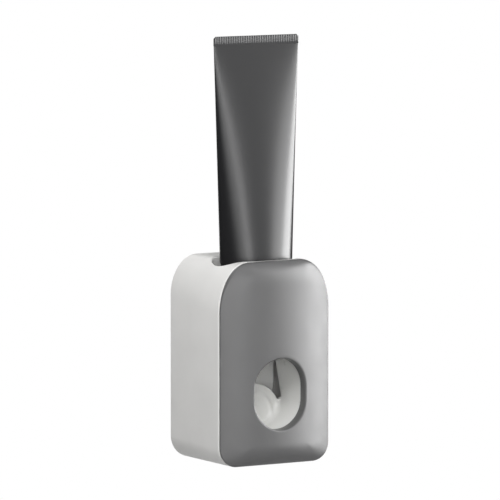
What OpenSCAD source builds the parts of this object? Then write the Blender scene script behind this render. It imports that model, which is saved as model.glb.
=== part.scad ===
// Wall-mounted push dispenser for toothpaste, with its tube plugged in.
// The origin is the centre of the adhesive pad's wall face: +Z up, +X to the
// viewer's right, the wall on the +Y side and the front towards -Y.
// Heights in the comments are above the housing's bottom.

/* [Housing] */
// Width of the housing and cover
body_w = 62; // [58:1:72]
// Height of the housing and cover
body_h = 100; // [98:1:112]
// Depth of the housing from its wall rim to the cover seam
housing_d = 46.5; // [46:0.5:56]
// Thickness of the housing's outer walls
housing_wall = 2.4; // [1.8:0.1:2.8]
// Thickness of the wall between the pump bay and the plate recess
back_wall = 2.2; // [1.6:0.1:2.6]
// Width of each rounded top corner
top_corner_w = 16.5; // [12:0.5:20]
// Height of each rounded top corner
top_corner_h = 22; // [14:1:26]
// Radius of the bottom corners
bottom_corner_r = 10; // [6:0.5:13]

/* [Top slot] */
// Width of the slot that the tube goes in by
slot_w = 45; // [40:0.5:50]
// Depth of the slot, front to back
slot_d = 30; // [29.5:0.1:31]
// Width of the strip between the seam and the slot
slot_strip = 1.8; // [1.4:0.1:2.4]

/* [Front cover] */
// Radius of the cover's bulge about a vertical axis
bulge_r = 72; // [66:1:110]
// Depth of the cover's straight rim at the seam
rim_d = 0.5; // [0.4:0.1:2]
// Height over which the cover's top and bottom roll back
roll_h = 10; // [6:0.5:14]
// Thickness of the cover's shell
cover_wall = 2.2; // [1.6:0.1:2.8]
// Depth of the locating lip that goes into the housing
lip_d = 3.2; // [2:0.2:3.8]
// Thickness of the locating lip
lip_wall = 1.4; // [1:0.1:1.8]
// Width of the brush opening
hole_w = 30.2; // [28:0.2:31]
// Height of the brush opening
hole_h = 36.4; // [34:0.2:38]
// Height of the brush opening's lowest point
hole_z = 16.6; // [15:0.2:18]
// Depth of the opening's collar behind the cover's surface at its sides
collar_d = 4.9; // [4.4:0.1:5.4]
// Thickness of the opening's collar
collar_wall = 1.6; // [1.2:0.1:2.2]

/* [Wall plate] */
// Height of the pad's centre above the housing's bottom
mount_h = 50; // [46:1:56]
// Thickness of the adhesive pad
pad_t = 1; // [0.6:0.1:1.4]
// Width of the adhesive pad
pad_w = 42; // [36:1:44]
// Height of the adhesive pad
pad_h = 64; // [56:1:66]
// Width of the wall plate
plate_w = 44; // [42:1:50]
// Height of the wall plate
plate_h = 66; // [60:1:68]
// Thickness of the wall plate
plate_t = 2; // [1.6:0.1:2.4]
// Corner radius of the wall plate and the pad
plate_corner_r = 6; // [3:0.5:10]
// Depth of each hook's neck
neck_d = 1.8; // [1.6:0.1:2.2]
// Width of each hook's neck
neck_w = 14; // [10:0.5:16]
// Thickness of each hook's head
head_t = 1.8; // [1.4:0.1:2.2]
// Width of each hook's head
head_w = 20; // [18:0.5:24]
// Height of each hook and of the rails that it holds
hook_h = 12; // [9:0.5:13]
// Distance between the upper and lower hooks
hook_pitch = 36; // [32:1:40]
// Thickness of the housing's rails round the hooks
rail_t = 2.2; // [1.6:0.1:3]

/* [Push lever] */
// Thickness of the scoop and its arms
lever_wall = 1.7; // [1.4:0.1:1.9]
// Distance from the seam back to the push plate's face
plate_in = 18.6; // [17.6:0.2:19.2]
// Radius of the push plate's round tongue
tongue_r = 14.6; // [13.4:0.2:15]
// Height of the tongue's centre above the opening's lowest point
tongue_rise = 6.3; // [5.6:0.1:7]
// Height of the notches beside the tongue, above the opening's lowest point
notch_rise = 13.1; // [12:0.1:14]
// Angle at which the arms' rear edges lean back
arm_lean = 16.6; // [12:0.2:18]
// Middle radius of the raised ring on the push plate
ring_r = 9.7; // [8:0.1:11]
// Height of the raised ring on the push plate
ring_t = 0.5; // [0.3:0.1:0.8]
// Radius of the arms' hinge eyes
eye_r = 4.8; // [4.2:0.1:5.2]
// Distance of the hinge behind the pump's axis
pivot_back = 3.6; // [3:0.1:4.2]
// Height of the hinge above the deck
pivot_rise = 2; // [1.5:0.1:3]
// Angle through which the lever is pushed
lever_travel = 13; // [10:0.5:13.5]
// Radius of the bar that squeezes the pump
bar_r = 2.2; // [1.8:0.1:2.4]

/* [Pump frame] */
// Thickness of the frame's back wall
frame_t = 2.2; // [1.8:0.1:2.6]
// Width of the backing block behind the scoop
block_w = 36.8; // [35:0.2:38]
// Thickness of the hinge ears
ear_t = 2; // [1.6:0.1:2.4]
// Thickness of the nozzle shelf and the deck
deck_t = 2; // [1.6:0.1:2.4]
// Half width of the nozzle shelf
shelf_r = 12; // [11.4:0.1:13]
// Radius of the deck's round front
deck_r = 15.4; // [15:0.1:15.8]
// Half width of the deck
deck_half_w = 14.4; // [14:0.1:14.6]

/* [Pump] */
// Distance of the nozzle's tip below the top of the brush opening
nozzle_drop = 1.5; // [1:0.1:2]
// Length of the nozzle's spout
spout_l = 4.5; // [4:0.1:5.5]
// Outer radius of the nozzle's spout
spout_r = 4.6; // [4.2:0.1:5]
// Bore radius of the nozzle's spout
spout_bore_r = 3.2; // [2.8:0.1:3.5]
// Radius of the nozzle's flange
nozzle_flange_r = 8.5; // [8:0.1:9]
// Height of the pump body between the nozzle and the deck
pump_h = 13.6; // [12.6:0.2:15]
// Largest radius of the pump's bulb
bulb_r = 9.5; // [9:0.1:9.8]
// Radius of the pump's neck through the deck
pump_neck_r = 7.9; // [7.5:0.1:8.1]
// Thickness of the pump's silicone wall
silicone_t = 1.3; // [1:0.1:1.5]
// Thickness of the pump's flanges
flange_t = 1.3; // [1:0.1:1.6]
// Radius of the pump's and the sleeve's upper flanges
flange_r = 10.6; // [10.2:0.1:10.9]
// Height of the inlet sleeve
sleeve_h = 8.8; // [8:0.2:10]
// Wall thickness of the inlet sleeve
sleeve_wall = 2.4; // [1.8:0.1:2.6]
// Height of the ring that holds the sleeve down
ring_h = 3.6; // [3:0.1:4.5]
// Wall thickness of the holding ring
ring_wall = 3.4; // [3:0.1:3.6]

/* [Tube] */
// Diameter of the tube at its shoulder
tube_d = 28.6; // [27:0.2:29]
// Length of the tube's sleeve from shoulder to crimp end
tube_l = 121.2; // [100:0.2:150]
// Width of the flat end
fin_w = 45; // [40:0.5:48]
// Width of the flattened tube where it enters the housing
entry_w = 38; // [34:0.5:40]
// Depth of the flattened tube where it enters the housing
entry_d = 18.6; // [14:0.2:22]
// Distance above the shoulder at which the tube is so flattened
entry_rise = 12; // [8:0.5:18]
// Height of the crimp
crimp_h = 3.7; // [3:0.1:5]
// Thickness of the crimped end
crimp_t = 1.1; // [0.8:0.1:1.6]
// Number of ribs across the crimp
crimp_ribs = 36; // [24:1:40]
// Depth of the crimp's grooves
groove_d = 0.15; // [0.1:0.01:0.25]
// Corner bevel of the crimp
crimp_bevel = 1; // [0.5:0.1:2]
// Angle by which the tube is turned towards the viewer's left
tube_turn = 8; // [0:1:12]
// Height of the tube's shoulder cone
shoulder_h = 4.5; // [3.5:0.1:6]
// Radius of the thread on the tube's neck
thread_r = 6; // [5.4:0.1:6.2]
// Depth of the neck's thread
thread_d = 0.5; // [0.3:0.05:0.7]
// Bore radius of the neck
neck_bore_r = 3.5; // [3:0.1:4]

/* [Springs and fasteners] */
// Wire diameter of the return springs
wire_d = 0.7; // [0.5:0.05:0.8]
// Mean radius of the return springs' coils
coil_r = 3.1; // [2.9:0.1:3.4]
// Turns of each return spring
coil_turns = 3; // [2:1:3]
// Radius of the hinge pins
pin_r = 1.5; // [1.2:0.1:1.8]
// Radius of the hinge pins' heads
pin_head_r = 2.6; // [2.2:0.1:3]
// Radius of the frame screws' threads
screw_r = 1.2; // [1:0.05:1.4]
// Length of the frame screws below the head
screw_l = 7; // [6:0.5:7.5]
// Radius of the frame screws' heads
screw_head_r = 2.2; // [2:0.1:2.4]
// Height of the frame screws' heads
screw_head_h = 1.5; // [1.2:0.1:1.6]
// Radius of the ring screws' threads
ring_screw_r = 0.9; // [0.8:0.05:1]
// Length of the ring screws below the head
ring_screw_l = 7; // [6.5:0.1:7.5]

/* [Fits] */
// Gap between parts that slide on or past each other
slide_gap = 0.3; // [0.2:0.05:0.4]
// Gap round a pin in its bore, and round a screw in its hole
bore_gap = 0.05; // [0.03:0.01:0.08]
// Gap between the lever and the frame when the lever is pushed in
swing_gap = 0.8; // [0.6:0.1:1]
// Gap between the collar and the lever's front rim
rim_gap = 0.6; // [0.4:0.1:1]
// Gap round the seated silicone and nozzle parts
seat_gap = 0.2; // [0.1:0.05:0.3]

/* [Hidden] */
$fn = 64;

// Depth positions, from the wall forwards
back_y = -pad_t;
plate_front_y = back_y - plate_t;
hook_front_y = plate_front_y - neck_d - head_t;
recess_y = hook_front_y - 2 * slide_gap;
inner_y = recess_y - back_wall;
seam_y = back_y - housing_d;
bulge_d = bulge_r - sqrt(pow(bulge_r, 2) - pow(body_w / 2, 2));
front_y = seam_y - rim_d - bulge_d;
hole_side_y = front_y + bulge_r - sqrt(pow(bulge_r, 2) - pow(hole_w / 2, 2));
collar_y = hole_side_y + collar_d;
axis_y = seam_y + slot_strip + slot_d / 2;

// Heights of the pump's parts, from the nozzle upwards
nozzle_z = hole_z + hole_h - nozzle_drop;
shelf_top_z = nozzle_z + spout_l;
pump_z = shelf_top_z + flange_t;
deck_z = pump_z + pump_h;
deck_top_z = deck_z + deck_t;
sleeve_z = deck_top_z + flange_t;
sleeve_top_z = sleeve_z + sleeve_h;
shoulder_z = sleeve_top_z + seat_gap;
tube_z = shoulder_z + shoulder_h;
tube_top_z = tube_z + tube_l;

// Lever
scoop_r = hole_w / 2 + 0.4;
scoop_out_r = scoop_r + lever_wall;
scoop_z = hole_z + hole_w / 2;
lever_front_y = collar_y + rim_gap;
push_y = seam_y + plate_in;
push_back_y = push_y + lever_wall;
tongue_z = hole_z + tongue_rise;
tongue_top_z = tongue_z + tongue_r;
notch_z = hole_z + notch_rise;
pivot_y = axis_y + pivot_back;
pivot_z = deck_top_z + pivot_rise;
arm_y = pivot_y + eye_r;
arm_z = notch_z + (arm_y - push_y + 1) / tan(arm_lean);
bar_y = axis_y - bulb_r - bar_r - 0.8;
bar_z = pump_z + pump_h / 2;

// Frame: its wall stands just behind the lever as it is pushed right in
block_z = tongue_top_z - 1.5;
function swing(y, z) = pivot_y + (y - pivot_y) * cos(lever_travel) + (pivot_z - z) * sin(lever_travel);
frame_y = max(swing(push_back_y, block_z - 1), swing(arm_y, arm_z)) + swing_gap;
frame_back_y = frame_y + frame_t;
frame_top_z = shoulder_z - 1.2;
spring_room = coil_turns * wire_d * 1.3 + wire_d + 2 * slide_gap;
ear_x = scoop_out_r + spring_room;
ear_out_x = ear_x + ear_t;
upper_wall_z = pivot_z - 9;

// Screws: two beside the bulb and two at the top of the frame
low_screw = [7, shelf_top_z + 5];
high_screw = [14.5, pivot_z + 4];
screw_sites = [for (p = [low_screw, high_screw]) for (side = [-1, 1]) [side * p[0], p[1]]];
boss_r = 3;

// Sleeve, its ring and the ring's three screws
sleeve_bore_r = thread_r + 0.15;
sleeve_out_r = sleeve_bore_r + sleeve_wall;
ring_in_r = sleeve_out_r + seat_gap;
ring_out_r = ring_in_r + ring_wall;
ring_screw_site_r = ring_out_r + 0.6;
ring_ear_r = 2.4;
ring_screw_angles = [-90, 30, 150];
ring_z = sleeve_z + flange_t;

// Curves of the outline are drawn with this many steps a corner
corner_steps = 14;

// Helpers

function arc(centre, rx, rz, from, to) = [for (i = [0 : corner_steps])
  let (a = from + (to - from) * i / corner_steps)
  centre + [rx * cos(a), rz * sin(a)]];

function outline_points(inset) = let (
    br = bottom_corner_r - inset,
    tw = top_corner_w - inset,
    th = top_corner_h - inset,
    bx = body_w / 2 - bottom_corner_r,
    tx = body_w / 2 - top_corner_w,
    tz = body_h - top_corner_h)
  concat(
    arc([bx, bottom_corner_r], br, br, -90, 0),
    arc([tx, tz], tw, th, 0, 90),
    arc([-tx, tz], tw, th, 90, 180),
    arc([-bx, bottom_corner_r], br, br, 180, 270));

// The outline seen from the front, drawn in by an inset
module outline(inset = 0) {
  polygon(outline_points(inset));
}

module from_bottom() {
  translate([0, 0, -mount_h]) children();
}

module box(low, high) {
  translate(low) cube(high - low);
}

// Extrudes a shape drawn in X and Z from y0 back to y1
module along_y(y0, y1) {
  translate([0, y1, 0]) rotate([90, 0, 0]) linear_extrude(y1 - y0) children();
}

// Extrudes a shape drawn in Y and Z from x0 to x1
module along_x(x0, x1) {
  translate([x0, 0, 0]) rotate([90, 0, 90]) linear_extrude(x1 - x0) children();
}

// A cylinder along Y from y0 back to y1, at x and z
module rod_y(x, z, r, y0, y1) {
  translate([x, y1, z]) rotate([90, 0, 0]) cylinder(r = r, h = y1 - y0);
}

// A cylinder along X from x0 to x1, at y and z
module rod_x(y, z, r, x0, x1) {
  translate([x0, y, z]) rotate([0, 90, 0]) cylinder(r = r, h = x1 - x0);
}

// An upright slot with round ends, its lowest point at z
module upright_oval(w, h, z) {
  translate([0, z + w / 2]) circle(d = w);
  translate([0, z + h - w / 2]) circle(d = w);
  translate([-w / 2, z + w / 2]) square([w, h - w]);
}

// A flat slot with round ends, centred
module flat_oval(w, d) {
  for (side = [-1, 1]) translate([side * (w - d) / 2, 0]) circle(d = d);
  square([w - d, d], center = true);
}

module rounded_plate(w, h, r) {
  square([w - 2 * r, h], center = true);
  square([w, h - 2 * r], center = true);
  for (x = [-1, 1]) for (z = [-1, 1])
    translate([x * (w / 2 - r), z * (h / 2 - r)]) circle(r = r);
}

// Turns a profile drawn as radius and height about the pump's axis
module on_axis() {
  translate([0, axis_y, 0]) rotate_extrude() children();
}

// Wall side

module adhesive_pad() {
  color("gainsboro") along_y(back_y, 0) rounded_plate(pad_w, pad_h, plate_corner_r);
}

module wall_plate() {
  color("whitesmoke") {
    along_y(plate_front_y, back_y) rounded_plate(plate_w, plate_h, plate_corner_r);
    for (side = [-1, 1]) translate([0, 0, side * hook_pitch / 2]) {
      box([-neck_w / 2, plate_front_y - neck_d, -hook_h / 2],
        [neck_w / 2, plate_front_y, hook_h / 2]);
      box([-head_w / 2, hook_front_y, -hook_h / 2],
        [head_w / 2, plate_front_y - neck_d, hook_h / 2]);
    }
  }
}

// Housing

// One pair of rails with the roof that rests on the hook's top
module hook_rails() {
  rail_in_x = head_w / 2 + slide_gap;
  rail_out_x = rail_in_x + rail_t;
  rail_back_y = plate_front_y - slide_gap;
  lip_front_y = plate_front_y - neck_d + slide_gap;
  for (side = [0, 1]) mirror([side, 0, 0]) {
    box([rail_in_x, recess_y - 0.5, -hook_h / 2], [rail_out_x, rail_back_y, hook_h / 2]);
    box([neck_w / 2 + slide_gap, lip_front_y, -hook_h / 2], [rail_out_x, rail_back_y, hook_h / 2]);
  }
  box([-rail_out_x, recess_y - 0.5, hook_h / 2], [rail_out_x, rail_back_y, hook_h / 2 + rail_t]);
}

module housing() {
  color("gainsboro") difference() {
    union() {
      from_bottom() difference() {
        along_y(seam_y, back_y) outline();
        along_y(seam_y - 1, inner_y) outline(housing_wall);
        along_y(recess_y, back_y + 1) outline(housing_wall);
      }
      for (side = [-1, 1]) translate([0, 0, side * hook_pitch / 2]) hook_rails();
      from_bottom() for (p = screw_sites) rod_y(p[0], p[1], boss_r, frame_back_y, inner_y + 0.5);
    }
    from_bottom() {
      translate([0, axis_y, body_h - top_corner_h / 2]) linear_extrude(top_corner_h)
        flat_oval(slot_w, slot_d);
      for (p = screw_sites) rod_y(p[0], p[1], screw_r + bore_gap, frame_back_y - 1, inner_y + 0.1);
    }
  }
}

// Front cover

// Side profile of the cover, in Y and Z: straight front, rolled top and bottom
module cover_profile(inset) {
  depth = seam_y - front_y - inset;
  roll = roll_h - inset / 2;
  steps = [for (i = [0 : corner_steps]) 90 * i / corner_steps];
  polygon(concat(
    [[seam_y + lip_d + 1, inset], [seam_y, inset]],
    [for (a = steps) [seam_y - depth * sin(a), inset + roll * (1 - cos(a))]],
    [for (a = steps) [seam_y - depth * cos(a), body_h - inset - roll * (1 - sin(a))]],
    [[seam_y + lip_d + 1, body_h - inset]]));
}

// The cover's outer form, or its hollow when drawn in by an inset
module cover_form(inset, side_inset, back) {
  intersection() {
    along_y(front_y - 1, back) outline(side_inset);
    translate([0, front_y + bulge_r, -1]) cylinder(r = bulge_r - inset, h = body_h + 2, $fn = 180);
    along_x(-body_w, body_w) cover_profile(inset);
  }
}

module front_cover() {
  lip_inset = housing_wall + seat_gap;
  color("darkgray") from_bottom() difference() {
    union() {
      difference() {
        union() {
          cover_form(0, 0, seam_y);
          along_y(seam_y - rim_d / 2, seam_y + lip_d) outline(lip_inset);
        }
        cover_form(cover_wall, lip_inset + lip_wall, seam_y + lip_d + 1);
      }
      intersection() {
        cover_form(cover_wall / 2, 0, seam_y);
        along_y(front_y, collar_y)
          upright_oval(hole_w + 2 * collar_wall, hole_h + 2 * collar_wall, hole_z - collar_wall);
      }
    }
    along_y(front_y - 1, seam_y + lip_d + 1) upright_oval(hole_w, hole_h, hole_z);
    box([-slot_w / 2, seam_y, body_h - top_corner_h], [slot_w / 2, seam_y + lip_d + 1, body_h]);
  }
}

// Push lever

// Side view of the lever, in Y and Z: scoop below, arms up to the hinge eyes
module lever_side() {
  polygon([
    [lever_front_y, 0],
    [push_back_y, 0],
    [push_back_y, notch_z],
    [push_y - 1, notch_z],
    [arm_y, arm_z],
    [arm_y, pivot_z],
    [pivot_y - eye_r, pivot_z],
    [bar_y - bar_r, bar_z + 2 * bar_r],
    [lever_front_y, bar_z - bar_r]]);
  translate([pivot_y, pivot_z]) circle(r = eye_r);
}

// Section of the scoop seen from the front: round below, open above
module scoop_section(r) {
  translate([0, scoop_z]) circle(r = r);
  translate([-r, scoop_z]) square([2 * r, body_h]);
}

// Push plate: full width up to the notches, then a round tongue
module push_plate() {
  translate([-scoop_r, 0]) square([2 * scoop_r, notch_z]);
  translate([0, tongue_z]) circle(r = tongue_r);
}

module push_ring() {
  translate([0, tongue_z]) difference() {
    circle(r = ring_r + ring_t);
    circle(r = ring_r - ring_t);
  }
}

module push_lever() {
  half_wall = lever_wall / 2;
  color("white") from_bottom() difference() {
    union() {
      intersection() {
        along_y(lever_front_y, arm_y) difference() {
          scoop_section(scoop_out_r);
          scoop_section(scoop_r);
        }
        along_x(-scoop_out_r, scoop_out_r) lever_side();
      }
      along_y(push_y, push_back_y) intersection() {
        scoop_section(scoop_r + half_wall);
        push_plate();
      }
      along_y(push_y - ring_t, push_y + half_wall) intersection() {
        scoop_section(scoop_r + half_wall);
        push_ring();
      }
      rod_x(bar_y, bar_z, bar_r, -scoop_r - half_wall, scoop_r + half_wall);
    }
    rod_x(pivot_y, pivot_z, pin_r + bore_gap, -body_w, body_w);
  }
}

// Pump frame and its screws

module pump_frame() {
  web_x = bulb_r + 1;
  color("whitesmoke") from_bottom() difference() {
    union() {
      box([-block_w / 2, frame_y, block_z], [block_w / 2, frame_back_y, frame_top_z]);
      box([-ear_out_x, frame_y, upper_wall_z], [ear_out_x, frame_back_y, frame_top_z]);
      for (side = [0, 1]) mirror([side, 0, 0]) {
        box([block_w / 2 - ear_t, frame_y, block_z], [block_w / 2, inner_y - slide_gap, upper_wall_z]);
        along_x(ear_x, ear_out_x) {
          translate([pivot_y, pivot_z]) circle(r = eye_r);
          translate([pivot_y, pivot_z - eye_r]) square([frame_back_y - pivot_y, 2 * eye_r]);
        }
        box([web_x, axis_y + shelf_r / 2, shelf_top_z - 0.5], [web_x + ear_t / 2, frame_y + 0.5, deck_z + 0.5]);
      }
      translate([0, 0, shelf_top_z - deck_t]) linear_extrude(deck_t) {
        translate([0, axis_y]) circle(r = shelf_r);
        translate([-shelf_r, axis_y]) square([2 * shelf_r, frame_back_y - axis_y]);
      }
      translate([0, 0, deck_z]) linear_extrude(deck_t) intersection() {
        union() {
          translate([0, axis_y]) circle(r = deck_r);
          translate([-deck_half_w, axis_y]) square([2 * deck_half_w, frame_back_y - axis_y]);
        }
        translate([-deck_half_w, axis_y - body_w / 2]) square([2 * deck_half_w, body_w]);
      }
    }
    translate([0, axis_y, shelf_top_z - deck_t - 1]) cylinder(r = spout_r + seat_gap, h = deck_t + 2);
    translate([0, axis_y, deck_z - 1]) cylinder(r = pump_neck_r + seat_gap, h = deck_t + 2);
    for (a = ring_screw_angles) translate([0, axis_y, deck_z - 1]) rotate([0, 0, a])
      translate([ring_screw_site_r, 0, 0]) cylinder(r = ring_screw_r + bore_gap, h = deck_t + 2, $fn = 32);
    for (p = screw_sites) rod_y(p[0], p[1], screw_r + seat_gap, frame_y - 1, frame_back_y + 1);
    rod_x(pivot_y, pivot_z, pin_r + bore_gap, -body_w, body_w);
  }
}

// A pan-head screw with a cross recess, its head above z = 0
module screw(r, l, head_r, head_h) {
  difference() {
    union() {
      translate([0, 0, -l]) cylinder(r = r, h = l, $fn = 32);
      cylinder(r = head_r, h = head_h, $fn = 32);
    }
    for (a = [0, 90]) rotate([0, 0, a]) translate([-head_r * 0.6, -head_r * 0.12, head_h * 0.45])
      cube([head_r * 1.2, head_r * 0.24, head_h]);
  }
}

module frame_screws() {
  color("silver") from_bottom() for (p = screw_sites)
    translate([p[0], frame_y, p[1]]) rotate([90, 0, 0])
      screw(screw_r, screw_l, screw_head_r, screw_head_h);
}

module pivot_pins() {
  color("silver") from_bottom() for (side = [0, 1]) mirror([side, 0, 0]) {
    rod_x(pivot_y, pivot_z, pin_r, scoop_r - 0.2, ear_out_x + 0.1);
    rod_x(pivot_y, pivot_z, pin_head_r, ear_out_x + 0.05, ear_out_x + 1.2);
  }
}

// Return springs: torsion coils round the hinge pins

coil_step = 20;
coil_x = scoop_out_r + slide_gap + wire_d / 2;
coil_pitch = wire_d * 1.3;
leg_sides = 8;
lever_leg_l = 12;
frame_leg_y = frame_y - wire_d / 2 - 0.05;

// Middle line: a leg up the arm's rear edge, the coil, and a leg to the frame
function coil_point(a) = [coil_x + coil_pitch * a / 360,
  pivot_y + coil_r * cos(a), pivot_z + coil_r * sin(a)];
function spring_path() = concat(
  [[coil_x, pivot_y + coil_r, pivot_z - lever_leg_l]],
  [for (a = [0 : coil_step : 360 * (coil_turns - 1) + 90]) coil_point(a)],
  [[coil_x + coil_pitch * (coil_turns - 0.75), pivot_y, pivot_z + coil_r],
    [coil_x + coil_pitch * (coil_turns - 0.75), frame_leg_y, pivot_z + coil_r]]);

function unit(v) = v / norm(v);

// A wire of round section along a path that lies nearly square to X
module wire(path, r, sides) {
  n = len(path);
  along = [for (i = [0 : n - 1]) unit(path[min(i + 1, n - 1)] - path[max(i - 1, 0)])];
  out = [for (i = [0 : n - 1]) unit(cross(along[i], [1, 0, 0]))];
  across = [for (i = [0 : n - 1]) cross(out[i], along[i])];
  points = [for (i = [0 : n - 1]) for (k = [0 : sides - 1])
    path[i] + r * (cos(360 * k / sides) * across[i] + sin(360 * k / sides) * out[i])];
  skin = [for (i = [0 : n - 2]) for (k = [0 : sides - 1])
    let (a = i * sides + k, b = i * sides + (k + 1) % sides)
    each [[a, b, a + sides], [b, b + sides, a + sides]]];
  caps = [[for (k = [0 : sides - 1]) sides - 1 - k], [for (k = [0 : sides - 1]) (n - 1) * sides + k]];
  polyhedron(points, concat(skin, caps));
}

module return_spring() {
  wire(spring_path(), wire_d / 2, leg_sides);
}

module return_spring_left() {
  color("silver") from_bottom() mirror([1, 0, 0]) return_spring();
}

module return_spring_right() {
  color("silver") from_bottom() return_spring();
}

// Pump, from the nozzle upwards

module outlet_nozzle() {
  color("white") from_bottom() on_axis() polygon([
    [spout_bore_r, nozzle_z],
    [spout_r - 0.4, nozzle_z],
    [spout_r, nozzle_z + 0.4],
    [spout_r, shelf_top_z],
    [nozzle_flange_r, shelf_top_z],
    [nozzle_flange_r, pump_z],
    [valve_flange_r + seat_gap, pump_z],
    [valve_flange_r + seat_gap, pump_z - valve_flange_t],
    [spout_bore_r, pump_z - valve_flange_t]]);
}

valve_flange_r = spout_r + 0.8;
valve_flange_t = flange_t * 0.6;
valve_r = spout_bore_r - seat_gap / 2;
slit_w = 0.2;

module outlet_valve() {
  color("snow") from_bottom() difference() {
    on_axis() polygon([
      [0, nozzle_z + 0.4],
      [valve_r * 0.5, nozzle_z + 0.4],
      [valve_r, nozzle_z + 1.6],
      [valve_r, pump_z - valve_flange_t],
      [valve_flange_r, pump_z - valve_flange_t],
      [valve_flange_r, pump_z],
      [valve_r - 0.7, pump_z],
      [valve_r - 0.7, nozzle_z + 2],
      [0, nozzle_z + 1.2]]);
    translate([-valve_r * 0.45, axis_y - slit_w / 2, nozzle_z]) cube([valve_r * 0.9, slit_w, 2]);
    translate([-slit_w / 2, axis_y - valve_r * 0.45, nozzle_z]) cube([slit_w, valve_r * 0.9, 2]);
  }
}

// Half width of the bulb at a share of its height
function bulb(share) = pump_neck_r - 0.4 + (bulb_r - pump_neck_r + 0.4) * sin(180 * share);
bulb_z = pump_z + flange_t;
bulb_top_z = deck_z - 0.6;
seat_z = deck_z - 0.2;
seat_r = pump_neck_r - silicone_t;
bulb_shares = [for (i = [0 : 12]) i / 12];

module silicone_pump() {
  outer = [for (s = bulb_shares) [bulb(s), bulb_z + (bulb_top_z - bulb_z) * s]];
  inner = [for (i = [len(outer) - 1 : -1 : 0]) outer[i] - [silicone_t, 0]];
  color("lightgray") from_bottom() on_axis() polygon(concat(
    [[valve_r, pump_z], [nozzle_flange_r, pump_z], [nozzle_flange_r, bulb_z]],
    outer,
    [[pump_neck_r, deck_z], [pump_neck_r, deck_top_z], [flange_r, deck_top_z],
      [flange_r, sleeve_z], [seat_r, sleeve_z], [seat_r, seat_z], [seat_r - 1, seat_z]],
    inner,
    [[valve_r, bulb_z]]));
}

seat_t = 1.4;
port_r = 1.1;
stem_r = 1;

module valve_seat() {
  color("white") from_bottom() translate([0, axis_y, seat_z]) difference() {
    cylinder(r = seat_r - seat_gap / 2, h = seat_t);
    translate([0, 0, -1]) cylinder(r = stem_r + bore_gap, h = seat_t + 2, $fn = 32);
    for (a = [0 : 72 : 359]) rotate([0, 0, a]) translate([seat_r * 0.56, 0, -1])
      cylinder(r = port_r, h = seat_t + 2, $fn = 32);
  }
}

// Umbrella valve hung under its seat, closing the ports
module inlet_valve() {
  umbrella_r = seat_r - 1.4;
  color("snow") from_bottom() on_axis() polygon([
    [0, seat_z - 1],
    [stem_r * 1.5, seat_z - 1],
    [umbrella_r, seat_z - 0.5],
    [umbrella_r, seat_z - 0.05],
    [stem_r, seat_z - 0.05],
    [stem_r, seat_z + seat_t + 0.05],
    [stem_r * 1.5, seat_z + seat_t + 0.05],
    [0, seat_z + seat_t + 1]]);
}

module inlet_sleeve() {
  color("lightgray") from_bottom() on_axis() polygon([
    [thread_r - 1, sleeve_z],
    [flange_r, sleeve_z],
    [flange_r, ring_z],
    [sleeve_out_r, ring_z],
    [sleeve_out_r, sleeve_top_z - 1],
    [sleeve_out_r - 1, sleeve_top_z],
    [sleeve_bore_r + 0.5, sleeve_top_z],
    [sleeve_bore_r, sleeve_top_z - 0.6],
    [sleeve_bore_r, sleeve_z + 1.2],
    [thread_r - 1, sleeve_z + 1.2]]);
}

module sleeve_ring() {
  color("whitesmoke") from_bottom() translate([0, axis_y, 0]) difference() {
    union() {
      translate([0, 0, ring_z]) cylinder(r = ring_out_r, h = ring_h);
      for (a = ring_screw_angles) rotate([0, 0, a]) translate([ring_screw_site_r, 0, deck_top_z])
        cylinder(r = ring_ear_r, h = ring_z + ring_h - deck_top_z, $fn = 32);
    }
    translate([0, 0, ring_z - 1]) cylinder(r = ring_in_r, h = ring_h + 2);
    translate([0, 0, deck_top_z - 1]) cylinder(r = flange_r + seat_gap, h = ring_z - deck_top_z + 1);
    for (a = ring_screw_angles) rotate([0, 0, a]) translate([ring_screw_site_r, 0, deck_top_z - 1])
      cylinder(r = ring_screw_r + bore_gap, h = ring_h + body_h, $fn = 32);
  }
}

module ring_screws() {
  color("silver") from_bottom() for (a = ring_screw_angles)
    translate([0, axis_y, ring_z + ring_h]) rotate([0, 0, a]) translate([ring_screw_site_r, 0, 0])
      screw(ring_screw_r, ring_screw_l, ring_screw_r * 1.9, ring_screw_r * 1.2);
}

// Toothpaste tube, upside down

neck_z = sleeve_z + 1.2 + seat_gap;
thread_pitch = 2.4;

module tube_shoulder() {
  core_r = thread_r - thread_d;
  thread_rows = [for (i = [0 : 2]) neck_z + 1 + thread_pitch * i];
  color("white") from_bottom() on_axis() polygon(concat(
    [[neck_bore_r, neck_z], [core_r, neck_z]],
    [for (z = thread_rows) each [[core_r, z], [thread_r, z + 0.4], [thread_r, z + 0.8], [core_r, z + 1.2]]],
    [[core_r, shoulder_z], [thread_r + 1, shoulder_z], [tube_d / 2, tube_z - 1], [tube_d / 2, tube_z],
      [tube_d / 2 - 1.2, tube_z], [neck_bore_r, shoulder_z + 1]]));
}

ring_sides = 48;
flat_z = tube_top_z - crimp_h;
entry_z = tube_z + entry_rise;
lower_rings = 6;
upper_rings = 8;
function smooth(t) = t * t * (3 - 2 * t);

// One ring of the tube: half width, half depth and height
function tube_ring(a, b, z) = [for (k = [0 : ring_sides - 1])
  [a * cos(360 * k / ring_sides), b * sin(360 * k / ring_sides), z]];
function lower_ring(t) = tube_ring(
  tube_d / 2 + (entry_w - tube_d) / 2 * smooth(t),
  tube_d / 2 + (entry_d - tube_d) / 2 * smooth(t), tube_z + entry_rise * t);
function upper_ring(t) = tube_ring(
  entry_w / 2 + (fin_w - entry_w) / 2 * t,
  entry_d / 2 + (crimp_t - entry_d) / 2 * t, entry_z + (flat_z + 0.2 - entry_z) * t);

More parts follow.
